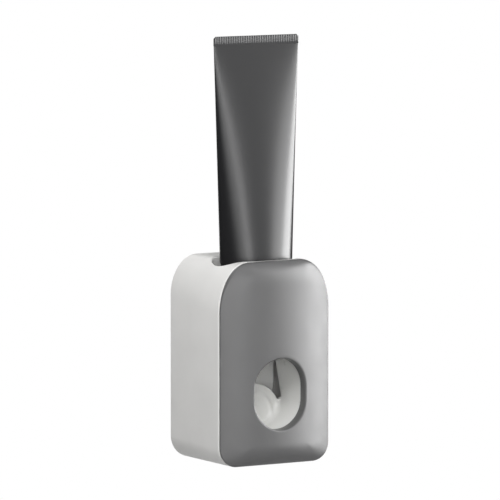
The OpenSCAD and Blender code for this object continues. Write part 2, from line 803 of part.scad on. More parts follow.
module tube_form() {
  rings = concat(
    [for (i = [0 : lower_rings]) lower_ring(i / lower_rings)],
    [for (i = [1 : upper_rings]) upper_ring(i / upper_rings)]);
  n = len(rings);
  skin = [for (i = [0 : n - 2]) for (k = [0 : ring_sides - 1])
    let (a = i * ring_sides + k, b = i * ring_sides + (k + 1) % ring_sides)
    each [[a, a + ring_sides, b], [b, a + ring_sides, b + ring_sides]]];
  caps = [[for (k = [0 : ring_sides - 1]) k],
    [for (k = [0 : ring_sides - 1]) n * ring_sides - 1 - k]];
  polyhedron([for (r = rings) each r], concat(skin, caps));
}

// Plan of the crimp: a grooved strip
module crimp_plan() {
  step = fin_w / crimp_ribs;
  edge = [for (i = [0 : 2 * crimp_ribs]) [-fin_w / 2 + i * step / 2,
    crimp_t / 2 - (i % 2 == 0 ? groove_d : 0)]];
  polygon(concat(edge, [for (i = [2 * crimp_ribs : -1 : 0]) [edge[i][0], -edge[i][1]]]));
}

module tube_sleeve() {
  color("dimgray") from_bottom() translate([0, axis_y, 0]) rotate([0, 0, -tube_turn]) {
    tube_form();
    intersection() {
      translate([0, 0, flat_z]) linear_extrude(crimp_h) crimp_plan();
      along_y(-crimp_t, crimp_t) polygon([
        [-fin_w / 2, flat_z - 1],
        [fin_w / 2, flat_z - 1],
        [fin_w / 2, tube_top_z - crimp_bevel],
        [fin_w / 2 - crimp_bevel, tube_top_z],
        [-fin_w / 2 + crimp_bevel, tube_top_z],
        [-fin_w / 2, tube_top_z - crimp_bevel]]);
    }
  }
}

adhesive_pad();
wall_plate();
housing();
front_cover();
pump_frame();
frame_screws();
push_lever();
pivot_pins();
return_spring_left();
return_spring_right();
outlet_nozzle();
outlet_valve();
silicone_pump();
valve_seat();
inlet_valve();
inlet_sleeve();
sleeve_ring();
ring_screws();
tube_shoulder();
tube_sleeve();
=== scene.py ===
"""Looks of a wall-hung toothpaste dispenser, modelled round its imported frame.

Metres: +Z up, +X to the viewer's right, the wall on the +Y side and the front towards -Y.
Seven pieces are modelled here, and the other nodes are carried over with materials of their own.
"""

import math

import bmesh
import bpy
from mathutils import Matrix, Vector


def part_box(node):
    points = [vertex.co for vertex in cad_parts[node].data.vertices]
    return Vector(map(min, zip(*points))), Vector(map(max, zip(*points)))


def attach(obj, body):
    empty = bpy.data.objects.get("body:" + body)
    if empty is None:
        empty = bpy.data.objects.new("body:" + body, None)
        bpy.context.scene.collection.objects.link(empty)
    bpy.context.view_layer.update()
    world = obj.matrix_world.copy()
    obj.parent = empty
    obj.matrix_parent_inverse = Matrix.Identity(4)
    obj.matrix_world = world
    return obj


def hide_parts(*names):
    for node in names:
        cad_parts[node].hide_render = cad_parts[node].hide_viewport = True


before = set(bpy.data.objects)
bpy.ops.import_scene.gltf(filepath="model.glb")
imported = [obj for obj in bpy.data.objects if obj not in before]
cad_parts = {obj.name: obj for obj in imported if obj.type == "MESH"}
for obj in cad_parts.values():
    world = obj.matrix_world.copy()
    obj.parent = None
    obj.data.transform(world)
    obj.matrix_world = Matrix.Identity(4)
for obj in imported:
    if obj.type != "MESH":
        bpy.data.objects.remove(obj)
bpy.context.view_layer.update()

MM = 0.001

# Places read from the frame
housing_low, housing_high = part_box("housing")
cover_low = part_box("front_cover")[0]
lever_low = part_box("push_lever")[0]
pump_low, pump_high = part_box("silicone_pump")
sleeve_low, sleeve_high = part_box("tube_sleeve")
shoulder_low, shoulder_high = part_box("tube_shoulder")
plate_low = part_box("wall_plate")[0]
screws_low, screws_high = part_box("frame_screws")
half_w = housing_high.x
bottom_z = housing_low.z
top_z = housing_high.z
back_y = housing_high.y
seam_y = housing_low.y
front_y = cover_low.y
axis_y = (pump_low.y + pump_high.y) / 2

# In the sizes below, RISE is a height over the housing's underside, D a depth along Y, H a height and
# T a thickness. IN counts from the seam towards the wall, and BACK from the pump's axis.

# Housing
FRONT_CORNERS = (16.5 * MM, 24.5 * MM, 9.3 * MM)    # width and height on top, radius below
BACK_CORNERS = (14.5 * MM, 19.5 * MM, 11 * MM)
WALL = 2.4 * MM
BACK_WALL = 2.2 * MM
RECESS_ROOM = 0.6 * MM
SEAM_FRONT_GAP = 0.15 * MM    # the cover's rim stands this far before the seam
SEAM_BACK_GAP = 1.1 * MM      # and the housing's rim this far behind it
SEAM_EDGE = 0.5 * MM
BACK_EDGE = 0.35 * MM
INNER_EDGE = 0.3 * MM    # the shell's inner rims
SLOT_W = 45 * MM
SLOT_D = 30 * MM
SLOT_EDGE = 0.7 * MM
SKIRT_T = 1.2 * MM
SKIRT_H = 9 * MM

# Cover
BULGE_R = 72 * MM
COVER_EDGE = 0.25 * MM
REVEAL_INSET = 0.5 * MM    # the grey step that closes the shadow gap
REVEAL_PLAY = 0.05 * MM
FACE_EDGE = 0.35 * MM
ROLL_H = 10.5 * MM         # how far in from the outline the face rolls back
COVER_WALL = 2.2 * MM
LIP_INSET = 2.6 * MM
LIP_WALL = 1.4 * MM
LIP_D = 3.2 * MM
HOLE_W = 29 * MM
HOLE_H = 35.1 * MM
HOLE_RISE = 17.4 * MM
HOLE_EDGE = 0.9 * MM
COLLAR_D = 5 * MM
COLLAR_WALL = 1.6 * MM
COLLAR_EDGE = 0.25 * MM

# Push lever
SCOOP_R = 15.5 * MM
LEVER_WALL = 1.7 * MM
SCOOP_RISE = 31.7 * MM
SCOOP_FILLET = 3.4 * MM
NOTCH_FILLET = 0.3 * MM
FILLET_GROWTH = 5 * MM
TONGUE_R = 14.6 * MM
TONGUE_RISE = 22.9 * MM
NOTCH_RISE = 29 * MM
NOTCH_R = 1.2 * MM
PLATE_IN = 18.6 * MM
RING_R = 9.7 * MM    # the faint raised ring on the push plate
RING_T = 0.5 * MM
RING_SOFT = 1.1 * MM
ARM_LEAN = math.radians(16.6)
ARM_FOOT = -0.3 * MM    # depth of the arms' rear edge behind the push plate's face, at the notch
EYE_R = 4.8 * MM
PIN_BORE_R = 1.55 * MM
BAR_R = 2.2 * MM
PIVOT_BACK = 3.6 * MM
PIVOT_RISE = 74.9 * MM
BAR_BACK = 12.5 * MM
BAR_RISE = 64.1 * MM

# Tube
TUBE_R = 14.3 * MM
TUBE_EDGE = 0.5 * MM
RIM_T = 1.2 * MM
FIN_W = 45 * MM
ENTRY_W = 38 * MM
ENTRY_D = 18.6 * MM
ENTRY_RISE = 12 * MM
CRIMP_H = 3.7 * MM
CRIMP_T = 1.1 * MM
CRIMP_RIBS = 36
GROOVE_D = 0.15 * MM
CRIMP_BEVEL = 1 * MM
CRIMP_ROOT = 0.8 * MM    # how deep the crimp starts in the body
CRIMP_EDGE_H = 0.25 * MM
CRIMP_EDGE_T = 0.2 * MM
CRIMP_END_SHARE = 0.55
RIBS_START = 0.15 * MM
RIBS_FULL = 0.45 * MM
TUBE_TURN = math.radians(8)
THREAD_R = 6 * MM
THREAD_D = 0.55 * MM
THREAD_PITCH = 2.4 * MM
THREAD_FOOT = 0.9 * MM
THREAD_END = 1.6 * MM
NECK_BORE_R = 3.5 * MM
NECK_BORE_EDGE = 0.2 * MM
NECK_EDGE = 0.25 * MM
NECK_FILLET = 0.4 * MM
SHOULDER_H = 4.5 * MM
SHOULDER_RIM_H = 1 * MM
SHOULDER_EDGE = 0.7 * MM
SHOULDER_SLOPE = 0.35
SHOULDER_TOE_W = 1 * MM
SHOULDER_TOE_H = 0.1 * MM
SHOULDER_TOE_EDGE = 0.4 * MM
SHOULDER_PLAY = 0.02 * MM    # keeps the shoulder's rim inside the tube's outside


# Mesh kit

JOIN_DISTANCE = 0.002 * MM
SLIVER_LENGTH = 0.001 * MM
ROUND_SHARE = 0.3    # how far the middle of a quarter round lies in from its corner


def mix(a, b, share):
    return a + (b - a) * share


def clamp(value, low, high):
    return min(max(value, low), high)


def bend(start, corner, end, t):
    """A value on a curve that leaves its start towards a corner and comes from there to its end."""
    return (1 - t) ** 2 * start + 2 * t * (1 - t) * corner + t * t * end


def smooth_step(t):
    t = clamp(t, 0, 1)
    return t * t * (3 - 2 * t)


class Shape:
    """Points and faces of a mesh, gathered ring by ring."""

    def __init__(self):
        self.points = []
        self.faces = []

    def ring(self, points):
        first = len(self.points)
        self.points.extend(points)
        return list(range(first, len(self.points)))

    def band(self, a, b, closed=True, skip=()):
        for i in range(len(a) if closed else len(a) - 1):
            if i not in skip:
                j = (i + 1) % len(a)
                self.faces.append((a[i], a[j], b[j], b[i]))

    def cap(self, ring):
        self.faces.append(tuple(ring))

    def skin(self, rings, ends):
        """Joins each ring to the next, with the ends open, capped or joined to each other."""
        for a, b in zip(rings, rings[1:] + (rings[:1] if ends == "joined" else [])):
            self.band(a, b)
        if ends == "capped":
            self.cap(rings[0])
            self.cap(rings[-1])

    def add(self, points, faces):
        first = len(self.points)
        self.points.extend(points)
        self.faces.extend(tuple(first + i for i in face) for face in faces)

    def rounded_box(self, low, high, edge):
        """A box with rounded edges."""
        form = bmesh.new()
        bmesh.ops.create_cube(form, size=1)
        low, high = Vector(low), Vector(high)
        for vert in form.verts:
            vert.co = Vector(mix(low[k], high[k], vert.co[k] + 0.5) for k in range(3))
        bmesh.ops.bevel(form, geom=form.edges[:], offset=edge, segments=2, affect="EDGES")
        form.verts.index_update()
        self.add([tuple(v.co) for v in form.verts], [[v.index for v in f.verts] for f in form.faces])
        form.free()

    def lathe(self, profile, axis, steps=48):
        """Turns (radius, place) pairs, a closed loop, about an axis that a function gives."""
        rings = []
        for radius, place in profile:
            rings.append(self.ring([
                axis(radius * math.cos(math.tau * k / steps), radius * math.sin(math.tau * k / steps), place)
                for k in range(steps)]))
        self.skin(rings, "joined")


def add_object(name, data):
    made = bpy.data.objects.new(name, data)
    bpy.context.scene.collection.objects.link(made)
    return made


def mesh_object(name, shape, flat_angle=38):
    """Makes an object of a shape, with joined points, outward faces and smooth shading up to an angle."""
    mesh = bpy.data.meshes.new(name)
    form = bmesh.new()
    verts = [form.verts.new(p) for p in shape.points]
    for face in shape.faces:
        form.faces.new([verts[i] for i in face])
    bmesh.ops.remove_doubles(form, verts=form.verts, dist=JOIN_DISTANCE)
    bmesh.ops.dissolve_degenerate(form, edges=form.edges, dist=SLIVER_LENGTH)
    bmesh.ops.recalc_face_normals(form, faces=form.faces)
    form.to_mesh(mesh)
    form.free()
    mesh.shade_smooth()
    mesh.set_sharp_from_angle(angle=math.radians(flat_angle))
    return add_object(name, mesh)


def apply_modifiers(obj):
    """Turns the object's modified form into its own mesh."""
    bpy.context.view_layer.update()
    graph = bpy.context.evaluated_depsgraph_get()
    mesh = bpy.data.meshes.new_from_object(obj.evaluated_get(graph))
    obj.modifiers.clear()
    obj.data = mesh


def place(obj, body, material, slot, *nodes):
    """Finishes a piece: its material, the body that it rides on and the nodes that it stands for."""
    obj.data.materials.clear()
    obj.data.materials.append(material)
    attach(obj, body)
    if nodes:
        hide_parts(*nodes)


# Materials: the scales of their patterns are in cycles a metre, and their heights in metres

PATCH_SCALE = 45
PATCH_CONTRAST = 0.03
SHEEN_SCALE = 160
GRAIN_SCALE = 3500
GRAIN_H = 0.03 * MM
WAVE_SCALE = 120
WAVE_STRENGTH = 0.02
WAVE_H = 0.2 * MM
WEAR_START = 0.52
WEAR_FULL = 0.6
LINE_SCALE = 900
LINE_STRETCH = (12, 1, 1)
VARNISH_SCALE = 300
HANDLED_SCALE = 40
DRAWN_SCALE = 700
DRAWN_STRETCH = (1, 1, 0.04)
DRAWN_H = 0.02 * MM
SCRATCH_SCALE = 1500
CELL_SCALE = 2600
CELL_H = 0.15 * MM
FOAM_PATCH_SCALE = 90
FOAM_SHEEN_SCALE = 400
FLOOR_PATCH_SCALE = 3
CARD_PATCH_SCALE = 20
SUBSURFACE_DEPTH = 1.5 * MM


def add_node(tree, kind, inputs=None, **settings):
    """Adds a shader node with its settings and inputs, each a constant or another node's output."""
    node = tree.nodes.new(kind)
    for name, value in settings.items():
        setattr(node, name, value)
    feed(node, inputs or {})
    return node


def feed(node, inputs):
    """Sets a node's inputs, given by name or place, to constants or other nodes' outputs."""
    for name, value in inputs.items():
        if isinstance(value, bpy.types.NodeSocket):
            node.id_data.links.new(value, node.inputs[name])
        else:
            node.inputs[name].default_value = value


def new_material(name):
    material = bpy.data.materials.new(name)
    material.use_nodes = True
    tree = material.node_tree
    tree.nodes.clear()
    shader = add_node(tree, "ShaderNodeBsdfPrincipled")
    add_node(tree, "ShaderNodeOutputMaterial", {"Surface": shader.outputs["BSDF"]})
    return material, tree, shader


def noise(tree, scale, detail=3.0, stretch=(1, 1, 1)):
    """A noise in the object's own space, with its scale in cycles a metre."""
    where = add_node(tree, "ShaderNodeTexCoord").outputs["Object"]
    mapping = add_node(tree, "ShaderNodeMapping", {"Vector": where, "Scale": stretch})
    place_in = mapping.outputs["Vector"]
    texture = add_node(tree, "ShaderNodeTexNoise", {"Vector": place_in, "Scale": scale, "Detail": detail})
    return texture.outputs["Fac"]


def ramp(tree, value, low, high, low_place=0.3, high_place=0.7):
    """Maps a value onto two greys or colours."""
    node = add_node(tree, "ShaderNodeValToRGB", {"Fac": value})
    for element, place_on, tone in zip(node.color_ramp.elements, (low_place, high_place), (low, high)):
        element.position = place_on
        colour = tone if hasattr(tone, "__len__") else (tone, tone, tone)
        element.color = (*colour, 1)
    return node.outputs["Color"]


def bump(tree, height, strength, distance, under=None):
    inputs = {"Height": height, "Strength": strength, "Distance": distance}
    if under is not None:
        inputs["Normal"] = under
    return add_node(tree, "ShaderNodeBump", inputs).outputs["Normal"]


def worn_edges(tree):
    """One on edges that stick out, nothing elsewhere."""
    pointed = add_node(tree, "ShaderNodeNewGeometry").outputs["Pointiness"]
    return ramp(tree, pointed, 0.0, 1.0, WEAR_START, WEAR_FULL)


def tint(colour, factor):
    return tuple(clamp(c * factor, 0, 1) for c in colour)


def plastic(name, colour, rough, edge, grain=0.08, specular=0.5, subsurface=0.0):
    """Moulded plastic: a fine sparked grain, slight tone patches, rubbed edges and handled sheen."""
    material, tree, shader = new_material(name)
    darker, lighter = tint(colour, 1 - PATCH_CONTRAST), tint(colour, 1 + PATCH_CONTRAST)
    patches = ramp(tree, noise(tree, PATCH_SCALE), darker, lighter)
    rubbed = add_node(tree, "ShaderNodeRGB")
    rubbed.outputs["Color"].default_value = (*tint(colour, edge), 1)
    base = add_node(tree, "ShaderNodeMix", data_type="RGBA")
    feed(base, {"Factor": worn_edges(tree), "A": patches, "B": rubbed.outputs["Color"]})
    fine = bump(tree, noise(tree, GRAIN_SCALE, 2), grain, GRAIN_H)
    feed(shader, {
        "Base Color": base.outputs["Result"],
        "Roughness": ramp(tree, noise(tree, SHEEN_SCALE, 5), *rough),
        "Normal": bump(tree, noise(tree, WAVE_SCALE, 1), WAVE_STRENGTH, WAVE_H, fine),
        "Specular IOR Level": specular,
    })
    if subsurface:
        feed(shader, {"Subsurface Weight": subsurface, "Subsurface Radius": (1.0, 0.9, 0.8),
                      "Subsurface Scale": SUBSURFACE_DEPTH})
    return material


def steel(name):
    """Turned steel with fine lines and small scratches."""
    material, tree, shader = new_material(name)
    lines = noise(tree, LINE_SCALE, 3, LINE_STRETCH)
    feed(shader, {
        "Base Color": ramp(tree, lines, (0.46, 0.46, 0.47), (0.68, 0.68, 0.69)),
        "Roughness": ramp(tree, noise(tree, SCRATCH_SCALE), 0.22, 0.4),
        "Normal": bump(tree, lines, 0.12, GRAIN_H),
        "Metallic": 1,
    })
    return material


def laminate(name):
    """Dark tube laminate: a satin varnish with drawn lines and soft handling marks."""
    material, tree, shader = new_material(name)
    handled = noise(tree, HANDLED_SCALE, 2)
    drawn = noise(tree, DRAWN_SCALE, 3, DRAWN_STRETCH)
    feed(shader, {
        "Base Color": ramp(tree, handled, (0.012, 0.012, 0.013), (0.016, 0.016, 0.017), 0, 1),
        "Roughness": ramp(tree, noise(tree, VARNISH_SCALE, 2), 0.27, 0.29, 0, 1),
        "Normal": bump(tree, drawn, 0.03, DRAWN_H),
        "Specular IOR Level": 0.51,
    })
    return material


def foam(name):
    """Closed-cell adhesive foam."""
    material, tree, shader = new_material(name)
    where = add_node(tree, "ShaderNodeTexCoord").outputs["Object"]
    cells = add_node(tree, "ShaderNodeTexVoronoi", {"Vector": where, "Scale": CELL_SCALE})
    feed(shader, {
        "Base Color": ramp(tree, noise(tree, FOAM_PATCH_SCALE), (0.8, 0.8, 0.79), (0.88, 0.88, 0.87)),
        "Roughness": ramp(tree, noise(tree, FOAM_SHEEN_SCALE), 0.55, 0.7),
        "Normal": bump(tree, cells.outputs["Distance"], 0.35, CELL_H),
    })
    return material


housing_white = plastic("housing_white", (0.76, 0.755, 0.74), (0.42, 0.55), 1.05)
cover_grey = plastic("cover_grey", (0.122, 0.122, 0.123), (0.36, 0.44), 1.2, specular=0.42)
lever_white = plastic("lever_white", (0.87, 0.87, 0.85), (0.26, 0.36), 1.03, grain=0.02)
frame_white = plastic("frame_white", (0.88, 0.88, 0.86), (0.4, 0.5), 1.03)
silicone = plastic("silicone", (0.78, 0.78, 0.76), (0.35, 0.5), 1.0, grain=0.02, subsurface=0.5)
tube_white = plastic("tube_white", (0.86, 0.86, 0.85), (0.3, 0.4), 1.02, grain=0.03, subsurface=0.15)
steel_plain = steel("steel")
pad_foam = foam("pad_foam")
tube_laminate = laminate("tube_laminate")


# The form's outline, seen from the front

BOTTOM_STEPS = 18
BOTTOM_CORNER_STEPS = 16
SIDE_STEPS = 28
TOP_CORNER_STEPS = 24
TOP_STEPS = 18
ROOF_MARGIN = 11
TOP_FIRST = BOTTOM_STEPS + BOTTOM_CORNER_STEPS + SIDE_STEPS
ROOF_FIRST = TOP_FIRST + ROOF_MARGIN
ROOF_LAST = TOP_FIRST + 2 * TOP_CORNER_STEPS + TOP_STEPS - ROOF_MARGIN


def line(start, end, steps):
    return [(mix(start[0], end[0], k / steps), mix(start[1], end[1], k / steps)) for k in range(steps)]


def arc(centre, wide, high, first, last, steps):
    angles = [math.radians(mix(first, last, k / steps)) for k in range(steps)]
    return [(centre[0] + wide * math.cos(a), centre[1] + high * math.sin(a)) for a in angles]


def corners(depth, inset):
    """Width and height of the top corners and radius of the bottom ones, at a share of the depth."""
    return [mix(a, b, depth) - inset for a, b in zip(FRONT_CORNERS, BACK_CORNERS)]


def outline(depth=0.0, inset=0.0):
    """Points (x, z) round the form, drawn in by an inset."""
    wide, high, low_r = corners(depth, inset)
    x, low, top = half_w - inset, bottom_z + inset, top_z - inset
    return (
        line((low_r - x, low), (x - low_r, low), BOTTOM_STEPS)
        + arc((x - low_r, low + low_r), low_r, low_r, -90, 0, BOTTOM_CORNER_STEPS)
        + line((x, low + low_r), (x, top - high), SIDE_STEPS)
        + arc((x - wide, top - high), wide, high, 0, 90, TOP_CORNER_STEPS)
        + line((x - wide, top), (wide - x, top), TOP_STEPS)
        + arc((wide - x, top - high), wide, high, 90, 180, TOP_CORNER_STEPS)
        + line((-x, top - high), (-x, low + low_r), SIDE_STEPS)
        + arc((low_r - x, low + low_r), low_r, low_r, 180, 270, BOTTOM_CORNER_STEPS)
    )


def depth_share(y):
    """Share of the way from the seam to the back, held between them."""
    return clamp((y - seam_y) / (back_y - seam_y), 0, 1)


def hoop(y, inset):
    """The outline as a ring of points at a depth."""
    return [(x, y, z) for x, z in outline(depth_share(y), inset)]


def roof_height(x, y, inset):
    """Height of the form's top over a point."""
    wide, high, _ = corners(depth_share(y), inset)
    over = clamp((abs(x) - (half_w - inset - wide)) / wide, 0, 1)
    return top_z - inset - high * (1 - math.sqrt(1 - over * over))


# Housing

ROOF_ROWS = 26
ROOF_RINGS = 8
EDGE_STEPS = 5
recess_y = plate_low.y - RECESS_ROOM
inner_y = recess_y - BACK_WALL
rim_y = seam_y + SEAM_BACK_GAP


def slot_rim(point, out):
    """The nearest point of the slot's edge, drawn outwards."""
    straight = (SLOT_W - SLOT_D) / 2
    x = clamp(point[0], -straight, straight)
    away = Vector((point[0] - x, point[1] - axis_y)).normalized()
    return x + away.x * (SLOT_D / 2 + out), axis_y + away.y * (SLOT_D / 2 + out)


def wall_with_slot(shape, first_y, last_y, inset, edge, rim_out, drop):
    """A wall round the form from one depth to another, open at the slot, whose edge is rounded."""
    rows = [mix(first_y, last_y, k / ROOF_ROWS) for k in range(ROOF_ROWS + 1)]
    rings = [shape.ring(hoop(y, inset)) for y in rows]
    for a, b in zip(rings, rings[1:]):
        shape.band(a, b, skip=range(ROOF_FIRST, ROOF_LAST))
    border = (
        [rings[0][i] for i in range(ROOF_FIRST, ROOF_LAST)]
        + [ring[ROOF_LAST] for ring in rings[:-1]]
        + [rings[-1][i] for i in range(ROOF_LAST, ROOF_FIRST, -1)]
        + [ring[ROOF_FIRST] for ring in rings[:0:-1]]
    )
    points = [shape.points[i] for i in border]
    last = border
    for k in range(1, ROOF_RINGS + 1):
        ring = []
        for p in points:
            rim = slot_rim(p, edge)
            x = mix(p[0], rim[0], k / ROOF_RINGS)
            y = mix(p[1], rim[1], k / ROOF_RINGS)
            ring.append((x, y, roof_height(x, y, inset)))
        ring = shape.ring(ring)
        shape.band(last, ring)
        last = ring
    for k in range(1, EDGE_STEPS + 1):
        t = k / EDGE_STEPS
        ring = []
        for p in points:
            start = slot_rim(p, edge)
            corner = slot_rim(p, rim_out)
            corner_z = roof_height(*corner, inset)
            x, y = (bend(a, b, b, t) for a, b in zip(start, corner))
            ring.append((x, y, bend(roof_height(*start, inset), corner_z, corner_z - drop, t)))
        ring = shape.ring(ring)
        shape.band(last, ring)
        last = ring
    return rings[0], rings[-1], last


def chain(shape, first, steps):
    """Joins a ring to further hoops, given as pairs of depth and inset, and returns the last."""
    last = first
    for y, inset in steps:
        ring = shape.ring(hoop(y, inset))
        shape.band(last, ring)
        last = ring
    return last


def rounded(start_y, radius, towards):
    """Depths and insets of a quarter round from the outside to a rim."""
    angles = [math.pi / 2 * k / EDGE_STEPS for k in range(1, EDGE_STEPS + 1)]
    return [(start_y + towards * radius * math.sin(a), radius * (1 - math.cos(a))) for a in angles]


def make_housing():
    shape = Shape()
    outer_front = rim_y + SEAM_EDGE
    outer_back = back_y - BACK_EDGE
    front, back, slot_out = wall_with_slot(shape, outer_front, outer_back, 0, SLOT_EDGE, 0, SLOT_EDGE)
    inner_front, inner_back, slot_in = wall_with_slot(
        shape, rim_y + INNER_EDGE, inner_y, WALL, SKIRT_T + INNER_EDGE, SKIRT_T, -INNER_EDGE)
    skirt_z = top_z - SKIRT_H
    soft = SKIRT_T / 4
    last = slot_out
    skirt = ((0, skirt_z + soft), (soft, skirt_z), (SKIRT_T - soft, skirt_z), (SKIRT_T, skirt_z + soft))
    for out, z in skirt:
        ring = []
        for i in slot_out:
            x, y = slot_rim(shape.points[i], out)
            ring.append((x, y, z))
        ring = shape.ring(ring)
        shape.band(last, ring)
        last = ring
    shape.band(last, slot_in)
    rim = chain(shape, front, rounded(outer_front, SEAM_EDGE, -1) + [(rim_y, WALL - INNER_EDGE)])
    shape.band(rim, inner_front)
    shape.cap(inner_back)
    floor_ring = chain(shape, back, rounded(outer_back, BACK_EDGE, 1) + [
        (back_y, WALL - INNER_EDGE), (back_y - INNER_EDGE, WALL), (recess_y, WALL)])
    shape.cap(floor_ring)
    add_rails(shape)
    add_bosses(shape)
    return mesh_object("housing_shell", shape)


HOOK_PITCH = 36 * MM
HOOK_H = 12 * MM
HOOK_NECK_W = 14 * MM
HOOK_HEAD_W = 20 * MM
HOOK_HEAD_T = 1.8 * MM
RAIL_T = 2.2 * MM
RAIL_ROOT = 0.5 * MM
RAIL_EDGE = 0.25 * MM
RAIL_STEP = 0.1 * MM    # keeps faces of joined blocks from lying in one plane
SLIDE_GAP = 0.3 * MM
plate_front_y = plate_low.y + 2 * HOOK_HEAD_T


def add_rails(shape):
    """The rails and roofs in the back recess that hang on the wall plate's hooks."""
    rail_in = HOOK_HEAD_W / 2 + SLIDE_GAP
    rail_out = rail_in + RAIL_T
    rail_back = plate_front_y - SLIDE_GAP
    lip_front = plate_front_y - HOOK_HEAD_T + SLIDE_GAP
    front = recess_y - RAIL_ROOT
    for middle in (-HOOK_PITCH / 2, HOOK_PITCH / 2):
        low, high = middle - HOOK_H / 2, middle + HOOK_H / 2
        for side in (-1, 1):
            x0, x1 = sorted((side * rail_in, side * rail_out))
            shape.rounded_box((x0, front, low), (x1, rail_back, high), RAIL_EDGE)
            x0, x1 = sorted((side * (HOOK_NECK_W / 2 + SLIDE_GAP), side * (rail_out - RAIL_STEP)))
            shape.rounded_box((x0, lip_front, low + RAIL_STEP), (x1, rail_back, high - RAIL_STEP), RAIL_EDGE)
        roof_low, roof_high = (-rail_out, front, high - RAIL_STEP), (rail_out, rail_back, high + RAIL_T)
        shape.rounded_box(roof_low, roof_high, RAIL_EDGE)


SCREW_HEAD_R = 2.2 * MM
SCREW_HEAD_T = 1.5 * MM
BOSS_SIDES = 32
BOSS_R = 3 * MM
BOSS_BORE_R = 1.3 * MM
LOW_SCREW_X = 7 * MM
BOSS_FRONT = 2.2 * MM


def add_bosses(shape):
    """Four screw bosses between the housing's inner wall and the pump frame."""
    boss_front = screws_low.y + SCREW_HEAD_T + BOSS_FRONT
    boss_back = inner_y + BACK_WALL / 2
    profile = [(BOSS_BORE_R, boss_front), (BOSS_R, boss_front), (BOSS_R, boss_back), (BOSS_BORE_R, boss_back)]
    sites = [(LOW_SCREW_X, screws_low.z + SCREW_HEAD_R),
             (screws_high.x - SCREW_HEAD_R, screws_high.z - SCREW_HEAD_R)]
    for x, z in sites:
        for side in (-1, 1):
            shape.lathe(profile, lambda a, b, y, side=side, x=x, z=z: (side * x + a, y, z + b), BOSS_SIDES)


# Front cover

FACE_RINGS = 26
INSIDE_RINGS = 10
EDGE_ANGLES = range(0, 91, 15)
ROLL_ANGLES = range(8, 91, 6)
SLOT_ROOM = 1 * MM
seam_front = seam_y - SEAM_FRONT_GAP
rim_d = seam_front - front_y - BULGE_R + math.sqrt(BULGE_R ** 2 - half_w ** 2)
hole_low = bottom_z + HOLE_RISE + HOLE_W / 2
hole_high = bottom_z + HOLE_RISE + HOLE_H - HOLE_W / 2
collar_y = front_y + BULGE_R - math.sqrt(BULGE_R ** 2 - (HOLE_W / 2) ** 2) + COLLAR_D


def bulge(x):
    """How far the cover stands out before its rim over a place across its width."""
    return math.sqrt(BULGE_R ** 2 - x * x) - math.sqrt(BULGE_R ** 2 - half_w ** 2)


def hole_rim(x, z, out):
    """The nearest point of the brush opening's edge, drawn outwards."""
    middle = clamp(z, hole_low, hole_high)
    away = Vector((x, z - middle)).normalized()
    return away.x * (HOLE_W / 2 + out), middle + away.y * (HOLE_W / 2 + out)


def roll(inset, share):
    """Share of the bulge left near the cover's top and bottom, which roll back."""
    left = clamp(1 - inset / ROLL_H, 0, 1)
    return 1 - share * (1 - math.sqrt(1 - left * left))


def face_edge(inset):
    """Share of the full depth reached at an inset, along the face's small edge round."""
    left = clamp(1 - inset / FACE_EDGE, 0, 1)
    return math.sqrt(1 - left * left)


class CoverColumn:
    """One line over the cover's face, from its outline to the brush opening."""

    def __init__(self, points, i):
        self.place = i
        self.start = Vector(points[i])
        along = Vector(points[(i + 1) % len(points)]) - Vector(points[i - 1])
        outward = Vector((along.y, -along.x)).normalized()
        self.rolled = abs(outward.y)
        self.hole = Vector(hole_rim(*self.start, HOLE_EDGE))
        self.reach = (self.start - self.hole).dot(outward)

    def at(self, inset):
        """Place (x, z) on the face at an inset from the outline."""
        return self.start.lerp(self.hole, inset / self.reach)

    def depth(self, inset):
        """How far the face stands out from the seam there."""
        stand = rim_d + bulge(self.at(inset).x) * roll(inset, self.rolled)
        return COVER_EDGE + (stand - COVER_EDGE) * face_edge(inset)


